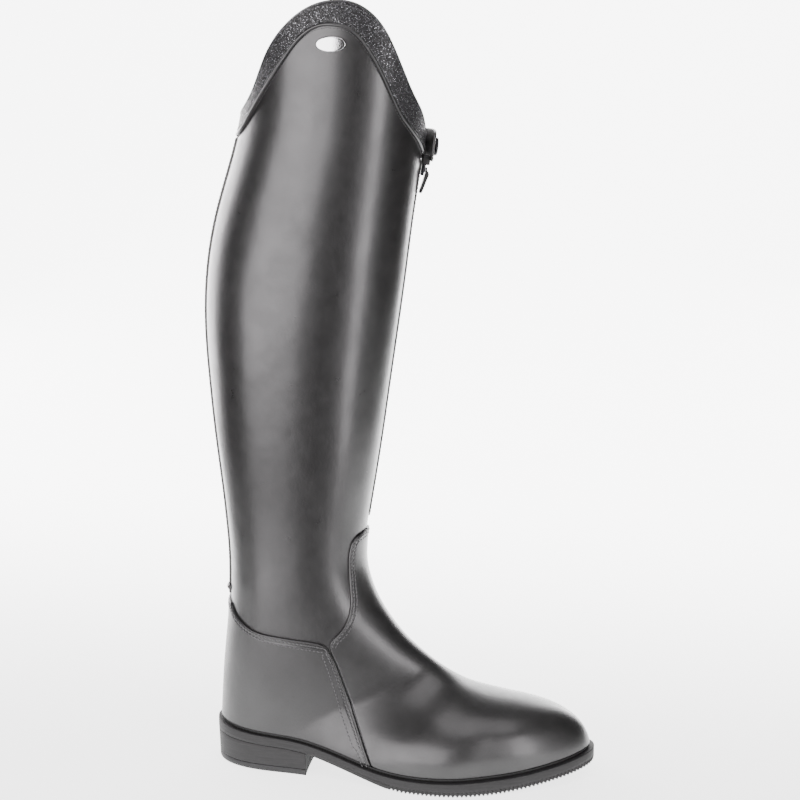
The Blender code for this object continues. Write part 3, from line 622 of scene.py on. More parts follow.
# soft wear folds: height, angle, half length and half height in mm, depth share, tilt
creases = (
    (152.0, 133.0, 15.0, 1.5, 0.55, 0.10), (148.5, 136.0, 19.0, 1.7, 0.75, 0.06),
    (143.5, 131.0, 14.0, 1.6, 0.5, -0.05), (157.0, 128.0, 11.0, 1.4, 0.35, 0.12),
    (150.0, 226.0, 17.0, 1.8, 0.6, -0.08), (145.0, 222.0, 13.0, 1.6, 0.45, 0.04),
)


def creaseLift(u, a):  # height change in mm at points of the skin
    p = skin(u, a)
    lift = np.zeros(p.shape[:-1])
    ankleTravel = 38.0  # mm of travel per radian round the ankle
    turn = np.mod(a, 2.0 * math.pi)
    for z, angle, halfLong, halfHigh, depth, tilt in creases:
        s = (turn - math.radians(angle)) * ankleTravel
        t = p[..., 2] - z - tilt * s - 0.02 * s * s
        fade = np.exp(-(s / halfLong) ** 2 * 1.2)
        trough = np.exp(-(t / halfHigh) ** 2)
        ridge = 0.55 * sum(np.exp(-((t + way * halfHigh) / (1.5 * halfHigh)) ** 2) for way in (-2.4, 2.4))
        lift += depth * fade * (ridge - trough)
    return lift * upperValues["creaseDepth"]


def softWaves(u, a):  # the slight unevenness of leather pulled over a stiff shaft
    p = skin(u, a)
    z = p[..., 2]
    wave = 0.12 * np.sin(z / 31.0 + 2.1 * np.sin(a)) * np.sin(2.0 * a + 0.7)
    wave += 0.07 * np.sin(z / 17.0 + 1.3 + 1.7 * np.cos(a)) * np.sin(3.0 * a + 2.0)
    return wave * np.clip((z - 120.0) / 60.0, 0.0, 1.0) * np.clip((560.0 - z) / 60.0, 0.0, 1.0)


def leatherLift(u, a):  # shared by the upper and by all that lies on it
    return creaseLift(u, a) + softWaves(u, a)


def upperGrid(look):
    s = np.linspace(-1.0, 1.0, look["columns"] + 1)
    a = math.pi * s
    top = rowAt(collarZ(a))
    fine = np.array([0.0, 0.0003, 0.001, 0.0022, 0.004, 0.007, 0.012])
    t = np.concatenate([fine, np.linspace(0.02, 1.0, look["collarRows"])])
    head = top[None, :] + (look["baseRow"] - top[None, :]) * t[:, None]
    u1 = np.linspace(look["baseRow"], backRow, look["shaftRows"])[1:]
    easing = np.linspace(0.0, 1.0, look["footRows"] + 1)[1:]
    u2 = backRow + (tipRow - backRow) * (1.0 - (1.0 - easing) ** 1.35)
    u2 = np.clip(u2, backRow, tipRow)
    rest = np.concatenate([u1, u2])
    limit = featherAngle(rest)
    limit[rest <= backRow + 1e-9] = math.pi
    u = np.concatenate([head, np.repeat(rest[:, None], len(s), 1)])
    angle = np.concatenate([np.repeat(a[None, :], len(t), 0), limit[:, None] * s[None, :]])
    split = np.concatenate([np.zeros(len(t), bool), rest > backRow + 1e-9])
    return u, angle, split


upperU, upperA, upperSplit = upperGrid(upperValues)
collarLine = skin(upperU[0], upperA[0])
belowRim = np.linalg.norm(skin(upperU, upperA) - collarLine[None], axis=-1)
rimTuck = (1.0 - rounded(belowRim, upperValues["rimRound"])) * 0.8
outerSkin = onSkin(upperU, upperA, leatherLift(upperU, upperA) - rimTuck)
innerSkin = onSkin(upperU, upperA, -upperValues["wall"] + rimTuck)
verts, faces = doubleSheet(outerSkin, innerSkin, closeCols=upperSplit[1:])
upperPiece = meshObject("upperLeather", toRow(verts), faces, smoothLeather)
upperPiece.data.materials.append(liningLeather)
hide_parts("upper")
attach(upperPiece, "boot")


def paintLining(piece):  # faces that look into the boot get the lining
    mesh = piece.data
    centre = np.empty(len(mesh.polygons) * 3)
    normal = np.empty(len(mesh.polygons) * 3)
    mesh.polygons.foreach_get("center", centre)
    mesh.polygons.foreach_get("normal", normal)
    centre = centre.reshape(-1, 3) / mm - designShift
    normal = normal.reshape(-1, 3)
    z = np.clip(centre[:, 2], fineBackZ.min(), 570.0)
    shaftPart = centre[:, 2] > 161.0
    u = rowAt(z)
    middle = np.stack([0.5 * (fits["frontX"](u) + fits["backX"](u)), fits["centreY"](u), z], -1)
    footMiddle = np.stack([centre[:, 0], np.zeros(len(centre)), np.full(len(centre), 30.0)], -1)
    heelMiddle = np.array([70.0, 0.0, 60.0])
    footMiddle = np.where((centre[:, 0] < 130.0)[:, None], heelMiddle[None], footMiddle)
    middle = np.where(shaftPart[:, None], middle, footMiddle)
    inward = np.sum((centre - middle) * normal, -1) < 0.0
    mesh.polygons.foreach_set("material_index", inward.astype(np.int32))


paintLining(upperPiece)
print("upper done: %d faces" % len(upperPiece.data.polygons))


# vamp: toe and instep in one piece
vampValues = {
    "columns": 150,
    "rows": 150,
    "base": 0.25,
    "thick": 1.35,
    "edgeRound": 0.9,
    "fine": seamSteps,
}


def seamLimit(line):  # angle of a seam as a function of the row, where it is single valued
    order = np.argsort(line[:, 0])
    return line[order, 0], line[order, 1]


vampLine = smoothLine(vampEdge[:-1], 260)
vampLine = vampLine[np.concatenate([[True], np.diff(vampLine[:, 0]) > 1e-4])]
peakRow = float(vampLine[0, 0])
vampU, vampA = seamLimit(vampLine)


def vampGrid(look):
    share = np.linspace(0.0, 1.0, look["rows"])
    u = np.concatenate([peakRow + 0.001 + 0.25 * np.linspace(0.0, 1.0, 18)[:-1] ** 2,
                        np.linspace(peakRow + 0.251, 16.0, 56)[:-1],
                        16.0 + (tipRow - 16.0) * (1.0 - (1.0 - share) ** 1.3)])
    feather = featherAngle(u)
    seam = np.interp(u, vampU, vampA)
    free = seam < feather
    limit = np.maximum(np.minimum(seam, feather), 0.004)
    points = np.empty((len(u), look["columns"]))
    for i, (row, end) in enumerate(zip(u, limit)):
        ring = skin(row, np.linspace(0.0, end, 24))
        length = runLength(ring)[-1]
        fine = np.array(look["fine"]) * min(1.0, length / 16.0)
        steps = edgeSteps(2.0 * length, fine, look["columns"] - 2 * (len(fine) - 1))
        points[i] = (steps[:look["columns"]] * 2.0 - 1.0) * end
    return np.repeat(u[:, None], points.shape[1], 1), points, free


gridU, gridA, vampFree = vampGrid(vampValues)
flat = skin(gridU, gridA)
runs = np.linalg.norm(np.diff(flat, axis=1), axis=-1)
fromLeft = np.concatenate([np.zeros((len(flat), 1)), np.cumsum(runs, 1)], 1)
edgeGap = np.minimum(fromLeft, fromLeft[:, -1:] - fromLeft)
fromTop = np.linalg.norm(flat - flat[0, flat.shape[1] // 2], axis=-1)
edgeGap = np.minimum(edgeGap, fromTop)
lift = vampValues["base"] + vampValues["thick"] * rounded(edgeGap, vampValues["edgeRound"])
lift = lift + leatherLift(gridU, gridA) + seamGroove(edgeGap) * (vampFree[:, None] & (gridU < 14.45))
verts, faces = doubleSheet(onSkin(gridU, gridA, lift), onSkin(gridU, gridA, 0.12 + leatherLift(gridU, gridA)))
vampPiece = meshObject("vampLeather", toRow(verts), faces, vampLeather)
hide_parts("vamp")
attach(vampPiece, "boot")
print("vamp done: %d faces" % len(vampPiece.data.polygons))


# counter: heel cover over shaft and vamp
counterValues = {
    "around": 96,
    "backTop": 125.6,       # height of the top edge at the back seam
    "down": 70,
    "base": 0.25,
    "thick": 1.6,
    "edgeRound": 0.9,
    "fine": seamSteps,
}

counterTopLine = smoothLine(counterTop, 400)
counterFrontLine = smoothLine(counterFront[:-1], 300)
backRows = np.linspace(12.0, 13.0, 101)[::-1]
backTopRow = float(np.interp(counterValues["backTop"], fits["backZ"](backRows), backRows))
topAtBack = np.array([[backTopRow, math.pi]])
counterTopLine = np.concatenate([topAtBack, counterTopLine[counterTopLine[:, 1] < math.radians(156.0)]])
featherFront = featherAngle(counterFrontLine[:, 0])
inside = counterFrontLine[:, 1] < featherFront - 1e-6
if not inside.all():
    counterFrontLine = counterFrontLine[:int(np.argmin(inside))]
cornerRow = float(counterFrontLine[-1, 0])


def evenly(line, count=None, shares=None):  # walk a line of (row, angle) by real length
    run = runLength(skin(line[:, 0], line[:, 1]))
    at = (np.linspace(0.0, 1.0, count) if shares is None else shares) * run[-1]
    return np.stack([np.interp(at, run, line[:, 0]), np.interp(at, run, line[:, 1])], -1), run[-1]


featherRows = np.linspace(backRow + 1e-4, cornerRow, 500)
featherLine = np.stack([featherRows, featherAngle(featherRows)], -1)
featherLine[0, 1] = math.pi
backLine = np.stack([np.linspace(counterTopLine[0, 0], backRow + 1e-4, 200), np.full(200, math.pi)], -1)
topLength = evenly(counterTopLine, 2)[1]
downLength = 0.5 * (evenly(backLine, 2)[1] + evenly(counterFrontLine, 2)[1])
fineOnly = np.array(counterValues["fine"])


def oneFineEnd(length, fine, count, atStart):
    rest = np.linspace(fine[-1], length, count)[1:]
    steps = np.concatenate([fine, rest]) / length
    return steps if atStart else 1.0 - steps[::-1]


shareS = oneFineEnd(topLength, fineOnly, counterValues["around"], False)   # back centre to front edge
shareT = oneFineEnd(downLength, fineOnly, counterValues["down"], True)     # top edge to the sole
topSide = evenly(counterTopLine, shares=shareS)[0]
footSide = evenly(featherLine, shares=shareS)[0]
backSide = evenly(backLine, shares=shareT)[0]
frontSide = evenly(counterFrontLine, shares=shareT)[0]
frontSide[0] = topSide[-1]
frontSide[-1] = footSide[-1]


def coons(s, t, left, right, top, bottom):
    s, t = s[None, :, None], t[:, None, None]
    ruled = (1 - s) * left[:, None] + s * right[:, None] + (1 - t) * top[None] + t * bottom[None]
    corner = (1 - s) * (1 - t) * top[0] + s * (1 - t) * top[-1] + (1 - s) * t * bottom[0] + s * t * bottom[-1]
    return ruled - corner


half = coons(shareS, shareT, backSide, frontSide, topSide, footSide)
mirror = half[:, ::-1].copy()
mirror[..., 1] = 2.0 * math.pi - mirror[..., 1]
heelGrid = np.concatenate([half[:, ::-1], mirror[:, ::-1][:, 1:]], 1)
flat = skin(heelGrid[..., 0], heelGrid[..., 1])
toTop = np.linalg.norm(flat - flat[:1], axis=-1)
toLateral = np.linalg.norm(flat - flat[:, :1], axis=-1)
toMedial = np.linalg.norm(flat - flat[:, -1:], axis=-1)
edgeGap = np.minimum(toTop, np.minimum(toLateral, toMedial))
lift = counterValues["base"] + counterValues["thick"] * rounded(edgeGap, counterValues["edgeRound"])
lift = lift + leatherLift(heelGrid[..., 0], heelGrid[..., 1]) + seamGroove(edgeGap)
verts, faces = doubleSheet(onSkin(heelGrid[..., 0], heelGrid[..., 1], lift),
                           onSkin(heelGrid[..., 0], heelGrid[..., 1], 0.1))
counterPiece = meshObject("counterLeather", toRow(verts), faces, counterLeather)
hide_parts("counter")
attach(counterPiece, "boot")
print("counter done: %d faces" % len(counterPiece.data.polygons))


# cuff, its piping and the lining edge at the collar
cuffValues = {
    "columns": 400,
    "middleRows": 20,
    "base": 0.35,
    "thick": 1.3,
    "edgeRound": 0.8,
    "fine": (0.0, 0.05, 0.15, 0.3, 0.5, 0.8, 1.4, 2.2),
    "chips": 0.16,          # mm of uneven surface
    "pipingRadius": 1.3,
    "rimRadius": 0.95,
}
cuffAngles = np.linspace(0.0, 2.0 * math.pi, cuffValues["columns"], endpoint=False)


def cuffRows(top, bottom, fine, middle):
    length = (top - bottom)[None, :]
    fine = np.array(fine)[:, None] * np.ones_like(length)
    inner = fine[-1:] + (length - 2.0 * fine[-1:]) * np.linspace(0.0, 1.0, middle)[1:-1, None]
    return np.concatenate([fine, inner, length - fine[::-1]])


collarTop = collarZ(cuffAngles)
cuffBottom = cuffEdgeZ(cuffAngles) + 0.6
drop = cuffRows(collarTop - 0.4, cuffBottom, cuffValues["fine"], cuffValues["middleRows"])
edgeGap = np.minimum(drop, drop[-1:] - drop)
cuffU = rowAt(collarTop[None] - 0.4 - drop)
cuffA = np.broadcast_to(cuffAngles[None], cuffU.shape)
chips = 0.5 * np.sin(cuffA * 61.0 + drop * 1.3) * np.sin(drop * 1.9 + 3.0 * np.sin(cuffA * 23.0))
lift = cuffValues["base"] + cuffValues["thick"] * rounded(edgeGap, cuffValues["edgeRound"])
lift = lift + cuffValues["chips"] * chips * np.clip(edgeGap / 2.0, 0.0, 1.0) + leatherLift(cuffU, cuffA)
verts, faces = doubleSheet(onSkin(cuffU, cuffA, lift), onSkin(cuffU, cuffA, 0.15), wrap=True)
cuffPiece = meshObject("cuffLeather", toRow(verts), faces, cuffLeather)
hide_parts("cuff")
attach(cuffPiece, "boot")


def closedCord(name, centre, normal, radius, sides, material):
    # round cord along a closed line of points that lies on the skin
    count = len(centre)
    ahead = np.roll(centre, -1, 0) - np.roll(centre, 1, 0)
    ahead /= np.linalg.norm(ahead, axis=1, keepdims=True)
    side = np.cross(ahead, normal)
    side /= np.linalg.norm(side, axis=1, keepdims=True)
    up = np.cross(side, ahead)
    turn = np.linspace(0.0, 2.0 * math.pi, sides, endpoint=False)
    spokes = np.cos(turn)[None, :, None] * side[:, None] + np.sin(turn)[None, :, None] * up[:, None]
    verts = (centre[:, None] + radius * spokes).reshape(-1, 3)
    faces = []
    for i in range(count):
        n = (i + 1) % count
        for j in range(sides):
            k = (j + 1) % sides
            faces.append((i * sides + j, i * sides + k, n * sides + k, n * sides + j))
    return meshObject(name, toRow(verts), faces, material)


fineAngles = np.linspace(0.0, 2.0 * math.pi, 720, endpoint=False)
pipeU = rowAt(cuffEdgeZ(fineAngles))
pipe = closedCord("cuffPipingCord", onSkin(pipeU, fineAngles, 0.95 + leatherLift(pipeU, fineAngles)),
                  skinNormal(pipeU, fineAngles), cuffValues["pipingRadius"], 14, pipingLeather)
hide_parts("cuff_piping")
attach(pipe, "boot")
rimU = rowAt(collarZ(fineAngles) - 0.1)
rimEdge = closedCord("collarEdge", onSkin(rimU, fineAngles, -0.75), skinNormal(rimU, fineAngles),
                     cuffValues["rimRadius"], 12, rimLeather)
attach(rimEdge, "boot")
print("cuff done")


# back strip, spur rest, oval plate
def patchPiece(name, zs, angles, lift, bottom, material, node=None):
    # zs and angles are grids in mm and radians; closed all round
    u = rowAt(zs)
    verts, faces = doubleSheet(onSkin(u, angles, lift), onSkin(u, angles, bottom))
    piece = meshObject(name, toRow(verts), faces, material)
    if node:
        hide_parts(node)
    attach(piece, "boot")
    return piece


stripValues = {"low": 126.4, "high": 463.8, "half": 9.0, "thick": 1.5, "rows": 170, "cols": 22, "edgeRound": 0.8}


def bandPiece(name, low, high, half, middle, thick, base, look, material, node, bottom=0.15):
    fine = np.array((0.0, 0.06, 0.18, 0.36, 0.6, 1.0, 1.7))
    down = edgeSteps(high - low, fine, look["rows"]) * (high - low)
    zs = high - down
    halfway = rowAt(0.5 * (low + high))
    left, right = (skin(halfway, math.radians(middle + turned)) for turned in (half, -half))
    width = float(np.linalg.norm(left - right))
    across = edgeSteps(width, fine, look["cols"])
    angles = np.radians(middle - half + 2.0 * half * across)
    gapZ = np.minimum(down, down[-1] - down)[:, None]
    gapA = (np.minimum(across, 1.0 - across) * width)[None, :]
    gridZ = np.broadcast_to(zs[:, None], (len(zs), len(angles)))
    gridA = np.broadcast_to(angles[None, :], gridZ.shape)
    lift = base + thick * rounded(np.minimum(gapZ, gapA), look["edgeRound"]) + leatherLift(rowAt(gridZ), gridA)
    return patchPiece(name, gridZ, gridA, lift, bottom, material, node)


bandPiece("backStripLeather", stripValues["low"], stripValues["high"], stripValues["half"], 180.0,
          stripValues["thick"], 0.3, stripValues, stripLeather, "back_strip")

spurValues = {"z": 131.9, "high": 1.9, "reach": 3.3, "half": 15.0}
count = 60
restAngles = np.radians(180.0 + np.linspace(-spurValues["half"], spurValues["half"], count))
turn = np.linspace(0.0, 2.0 * math.pi, 14, endpoint=False)
fade = np.sqrt(np.clip(1.0 - np.linspace(-1.0, 1.0, count) ** 4, 0.02, 1.0))
restZ = spurValues["z"] + spurValues["high"] * np.sin(turn)[None, :] * np.ones((count, 1))
restLift = 0.2 + (spurValues["reach"] * 0.5) * (1.0 + np.cos(turn))[None, :] * fade[:, None]
restGrid = onSkin(rowAt(restZ), np.broadcast_to(restAngles[:, None], restZ.shape), restLift)
faces = gridFaces(count, len(turn), 0, True)
faces.append(tuple(range(len(turn))))
faces.append(tuple((count - 1) * len(turn) + j for j in range(len(turn))))
spurPiece = meshObject("spurRestLeather", toRow(restGrid.reshape(-1, 3)), faces, stripLeather)
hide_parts("spur_rest")
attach(spurPiece, "boot")

plateValues = {
    "z": 534.0, "angle": 86.0, "halfWide": 8.25, "halfHigh": 5.25, "low": 0.45, "thick": 1.35, "dome": 0.35,
}
rings = np.array((0.0, 0.2, 0.4, 0.6, 0.76, 0.86, 0.92, 0.955, 0.98, 0.995, 1.0, 1.0))
plateRoll = np.array((1.0, 1.0, 1.0, 1.0, 1.0, 0.99, 0.96, 0.9, 0.8, 0.62, 0.42, -0.2))
heights = plateValues["low"] + plateValues["thick"] * plateRoll
heights = heights + plateValues["dome"] * (1.0 - rings ** 2) * 0.6
turn = np.linspace(0.0, 2.0 * math.pi, 72, endpoint=False)
perRadian = 52.0  # mm round the shaft at the plate
plateZ = plateValues["z"] + plateValues["halfHigh"] * rings[:, None] * np.sin(turn)[None]
plateA = plateValues["halfWide"] / perRadian * rings[:, None] * np.cos(turn)[None]
plateA = math.radians(plateValues["angle"]) + plateA
grid = onSkin(rowAt(plateZ), plateA, np.broadcast_to(heights[:, None], plateZ.shape))
faces = gridFaces(len(rings), len(turn), 0, True)
faces.append(tuple((len(rings) - 1) * len(turn) + j for j in range(len(turn))))
platePiece = meshObject("ovalPlate", toRow(grid.reshape(-1, 3)), faces, plateMetal)
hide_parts("badge_plate")
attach(platePiece, "boot")
print("strip, rest and plate done")


# strap over the zip, with its stud
strapTable = (  # angle, middle height, half height, clearance
    (-68.0, 456.0, 6.0, 0.35), (-64.0, 456.0, 8.5, 0.35), (-58.0, 456.5, 9.5, 0.35), (-51.0, 457.0, 10.0, 0.9),
    (-44.0, 457.5, 10.3, 2.9), (-37.0, 458.2, 10.6, 4.6), (-30.0, 459.0, 10.9, 5.9), (-23.0, 459.6, 11.0, 6.6),
    (-16.0, 460.0, 11.0, 6.9), (-9.0, 460.0, 10.6, 7.0), (-5.0, 460.0, 8.8, 7.0), (-3.0, 460.0, 5.6, 7.0),
)
strapValues = {"cols": 90, "rows": 20, "thick": 1.7, "edgeRound": 0.7}
strapFits = [spline([row[0] for row in strapTable], [row[i] for row in strapTable]) for i in (1, 2, 3)]
fine = np.array((0.0, 0.07, 0.2, 0.4, 0.7, 1.2))
shareA = edgeSteps(48.0, fine, strapValues["cols"])
degrees = -68.0 + 65.0 * shareA
middle, halfHigh, clearance = (fit(degrees) for fit in strapFits)
shareZ = edgeSteps(21.0, fine, strapValues["rows"])
strapZ = middle[None] + halfHigh[None] * (1.0 - 2.0 * shareZ[:, None])
strapA = np.broadcast_to(np.radians(degrees)[None], strapZ.shape)
gap = np.minimum(np.minimum(shareA, 1.0 - shareA)[None] * 48.0,
                 np.minimum(shareZ, 1.0 - shareZ)[:, None] * 2.0 * halfHigh[None])
bodyLift = clearance[None] + 0.35 + strapValues["thick"] * rounded(gap, strapValues["edgeRound"]) * 0.75
backLift = np.maximum(clearance[None] + 0.35 - 0.35 * rounded(gap, strapValues["edgeRound"]), 0.2)
strapU = rowAt(strapZ)
verts, faces = doubleSheet(onSkin(strapU, strapA, bodyLift), onSkin(strapU, strapA, backLift))
strapPiece = meshObject("strapLeather", toRow(verts), faces, tabLeather)
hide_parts("closure_tab")
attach(strapPiece, "boot")


def domeOnSkin(name, z, degrees, radius, low, high, material, node=None, body="boot", dent=0.35):
    rings = np.array((0.0, 0.2, 0.4, 0.6, 0.75, 0.85, 0.92, 0.97, 1.0, 1.0))
    roll = np.array((0.93, 0.93, 0.94, 0.97, 1.0, 0.99, 0.92, 0.75, 0.45, 0.0))
    height = low + (high - low) * roll - dent * (rings < 0.5)
    turn = np.linspace(0.0, 2.0 * math.pi, 48, endpoint=False)
    u, a = rowAt(z), math.radians(degrees)
    centre = onSkin(u, a, 0.0)
    out = skinNormal(np.array([u]), np.array([a]))[0]
    side = np.array([-out[1], out[0], 0.0])
    side /= np.linalg.norm(side)
    up = np.cross(out, side)
    spokes = np.cos(turn)[None, :, None] * side + np.sin(turn)[None, :, None] * up
    points = centre + radius * rings[:, None, None] * spokes + height[:, None, None] * out
    faces = gridFaces(len(rings), len(turn), 0, True)
    faces.append(tuple((len(rings) - 1) * len(turn) + j for j in range(len(turn))))
    piece = meshObject(name, toRow(points.reshape(-1, 3)), faces, material)
    if node:
        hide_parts(node)
    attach(piece, body)
    return piece


domeOnSkin("pressStudCap", 459.5, -13.0, 6.5, 8.7, 10.9, blackMetal, "press_stud")
print("strap done")


# sole
soleValues = {
    "side": 620,            # points per side of the outline
    "leatherOut": 1.55,
    "treadFrom": 136.0,
    "treadPitch": 3.1,
    "treadDeep": 1.15,
    "groove": 0.3,
    "breast": 72.0,
    "lift": 4.75,
}
easing = 0.5 * (1.0 - np.cos(np.linspace(0.0, math.pi, 900)))
outlineRows = backRow + 0.001 + (tipRow - backRow - 0.002) * easing
outlineAngles = featherAngle(outlineRows)
outlineAngles[0] = math.pi
outlineAngles[-1] = 0.0


def sideLine(sign):
    points = onSkin(outlineRows, sign * outlineAngles, soleValues["leatherOut"])[:, :2]
    run = runLength(points)
    keep = np.concatenate([[True], np.diff(run) > 1e-5])
    at = np.linspace(0.0, run[-1], soleValues["side"])
    return np.stack([np.interp(at, run[keep], points[keep, k]) for k in range(2)], -1)


lateral, medial = sideLine(1.0), sideLine(-1.0)
lateral[0] = medial[0] = 0.5 * (lateral[0] + medial[0])
lateral[-1] = medial[-1] = 0.5 * (lateral[-1] + medial[-1])
loop = np.concatenate([lateral, medial[::-1][1:-1]])
for step in range(30):  # even out small kinks
    loop = 0.25 * np.roll(loop, 1, 0) + 0.5 * loop + 0.25 * np.roll(loop, -1, 0)
ahead = np.roll(loop, -1, 0) - np.roll(loop, 1, 0)
outward = np.stack([ahead[:, 1], -ahead[:, 0]], -1)
outward /= np.linalg.norm(outward, axis=1, keepdims=True)
if np.mean(np.sum(outward * (loop - loop.mean(0)), 1)) < 0.0:
    outward = -outward
for step in range(40):
    outward = 0.25 * np.roll(outward, 1, 0) + 0.5 * outward + 0.25 * np.roll(outward, -1, 0)
outward /= np.linalg.norm(outward, axis=1, keepdims=True)
ledgeAt = along(soleTable["ledgeX"], soleTable["ledge"])
loopRun = np.concatenate([runLength(lateral), runLength(medial)[::-1][1:-1]])[: len(loop)]


def widened(amount):
    return loop + outward * np.asarray(amount, float).reshape(-1, 1) * np.ones((len(loop), 1))


def stacked(name, rings, material, node=None, body="boot"):
    # rings run from the upper face down to the lower face; caps are strips between both sides
    n = len(rings[0])
    verts = np.concatenate(rings)
    faces = gridFaces(len(rings), n, 0, True)
    halfWay = n // 2
    for start, flip in ((0, False), ((len(rings) - 1) * n, True)):
        for i in range(halfWay):
            a, b = start + i, start + i + 1
            c, d = start + (n - i - 1) % n, start + (n - i) % n
            quad = [a, b, c, d] if i else [a, b, c]
            quad = list(dict.fromkeys(quad))
            if len(quad) > 2:
                faces.append(tuple(quad if flip else quad[::-1]))
    piece = meshObject(name, toRow(verts), faces, material)
    if node:
        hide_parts(node)
    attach(piece, body)
    return piece


def ringAt(amount, height):
    xy = widened(amount)
    return np.concatenate([xy, np.broadcast_to(np.asarray(height(xy[:, 0]), float), (len(xy),))[:, None]], 1)


def overTop(amount):  # height over the sole's upper face
    return lambda x: soleTop(x) + amount


def overUnder(most, share):  # height over the underside, less where the sole is thin
    return lambda x: soleUnder(x) + np.minimum(most, share * (soleTop(x) - soleUnder(x)))


def level(height):
    return lambda x: np.full(len(x), height)


ledgeNow = ledgeAt(loop[:, 0])
tooth = np.clip((loop[:, 0] - soleValues["treadFrom"]) / 4.0, 0.0, 1.0)
saw = np.abs(np.mod(loopRun / soleValues["treadPitch"], 1.0) * 2.0 - 1.0)
saw = np.clip(saw * 2.2 - 0.6, 0.0, 1.0)
band = np.clip((loop[:, 0] - 96.0) / 40.0, 0.0, 1.0)  # tread layer grows from the waist
notch = tooth * saw
treadUp = soleValues["treadDeep"] * notch
grooveIn = soleValues["groove"] * band
rings = [
    ringAt(-3.0, soleTop),
    ringAt(ledgeNow - 0.7, soleTop),
    ringAt(ledgeNow - 0.35, overTop(-0.06)),
    ringAt(ledgeNow - 0.1, overTop(-0.25)),
    ringAt(ledgeNow, overTop(-0.6)),
    ringAt(ledgeNow + 0.05, lambda x: soleTop(x) - 0.45 * (soleTop(x) - soleUnder(x))),
    ringAt(ledgeNow, overUnder(3.9, 0.44)),
    ringAt(ledgeNow - grooveIn, overUnder(3.7, 0.42)),
    ringAt(ledgeNow - grooveIn, overUnder(3.4, 0.38)),
    ringAt(ledgeNow + 0.02 - 0.4 * notch, overUnder(3.2, 0.36)),
    ringAt(ledgeNow - 0.05 - 0.9 * notch, lambda x: soleUnder(x) + 0.55 + treadUp),
    ringAt(ledgeNow - 0.5 - 0.9 * notch, lambda x: soleUnder(x) + treadUp * 0.9),
    ringAt(ledgeNow - 2.4, lambda x: soleUnder(x) + treadUp * 0.8),
    ringAt(ledgeNow - 3.6, soleUnder),
    ringAt(ledgeNow - 4.2, soleUnder),
]
stacked("soleRubberUnit", rings, edgeRubber, "outsole")
midsoleEdge = (  # out from the foot's outline, height over the sole
    (-4.0, 2.3), (-1.0, 2.3), (-0.55, 2.2), (-0.4, 1.6), (-0.5, 0.7), (-0.6, 0.05), (-4.0, 0.05),
)
stacked("midsoleStrip", [ringAt(wide, overTop(high)) for wide, high in midsoleEdge], midsoleLeather, "midsole")

# heel block and top lift: the rear of the outline, closed by the breast
rear = np.where(loop[:, 0] < soleValues["breast"])[0]
jump = int(np.argmax(np.diff(rear) > 1))
lateralRear = rear[: jump + 1]
medialRear = rear[jump + 1:]
heelOrder = np.concatenate([medialRear, lateralRear])  # from the medial breast corner round the back


def heelRing(amount, height, bow=0.0):
    amount = np.asarray(amount, float).reshape(-1, 1) * np.ones((len(heelOrder), 1))
    xy = loop[heelOrder] + outward[heelOrder] * amount
    frontA, frontB = xy[-1].copy(), xy[0].copy()
    frontA[0] = frontB[0] = soleValues["breast"] - 0.05
    xy[-1], xy[0] = frontA, frontB
    share = np.linspace(0.0, 1.0, 42)[1:-1, None]
    front = frontA * (1 - share) + frontB * share
    front[:, 0] -= bow * np.sin(math.pi * share[:, 0]) ** 0.8
    ring = np.concatenate([xy, front])
    z = np.broadcast_to(np.asarray(height(ring[:, 0]), float), (len(ring),))
    return np.concatenate([ring, z[:, None]], 1)


def heelStack(name, rings, material, node):
    n = len(rings[0])
    verts = np.concatenate(rings)
    faces = gridFaces(len(rings), n, 0, True)
    faces.append(tuple(range(n)))
    faces.append(tuple((len(rings) - 1) * n + j for j in range(n)))
    piece = meshObject(name, toRow(verts), faces, material)
    piece.data.materials.append(breastShadeRubber)
    # faces turned to the toe (the heel breast) get the darker rubber: painted shade under the shank
    for polygon in piece.data.polygons:
        polygon.material_index = int(polygon.normal.x > 0.6)
    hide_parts(node)
    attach(piece, "boot")
    return piece


ledgeHeel = ledgeAt(loop[heelOrder, 0])
liftTop = soleValues["lift"]
heelStack("heelBlockStack", [
    heelRing(ledgeHeel - 2.0, lambda x: soleUnder(x) - 0.03, 2.0),
    heelRing(ledgeHeel - 0.35, lambda x: soleUnder(x) - 0.06, 2.0),
    heelRing(ledgeHeel - 0.15, lambda x: soleUnder(x) - 0.3, 2.0),
    heelRing(ledgeHeel - 0.2, lambda x: soleUnder(x) - 2.5, 2.1),
    heelRing(ledgeHeel - 0.45, lambda x: 0.5 * (soleUnder(x) + liftTop), 2.2),
    heelRing(ledgeHeel - 0.7, level(liftTop + 1.0), 2.2),
    heelRing(ledgeHeel - 0.78, level(liftTop + 0.35), 2.2),
    heelRing(ledgeHeel - 1.0, level(liftTop + 0.12), 2.2),
], edgeRubber, "heel_block")
heelStack("topLiftRubber", [
    heelRing(ledgeHeel - 1.0, level(liftTop - 0.1), 2.0),
    heelRing(ledgeHeel - 0.78, level(liftTop - 0.35), 2.0),
    heelRing(ledgeHeel - 0.8, level(2.4), 2.0),
    heelRing(ledgeHeel - 0.85, level(0.8), 2.0),
    heelRing(ledgeHeel - 1.1, level(0.22), 2.0),
    heelRing(ledgeHeel - 1.7, level(0.0), 2.0),
], soleRubber, "top_lift")
print("sole done")


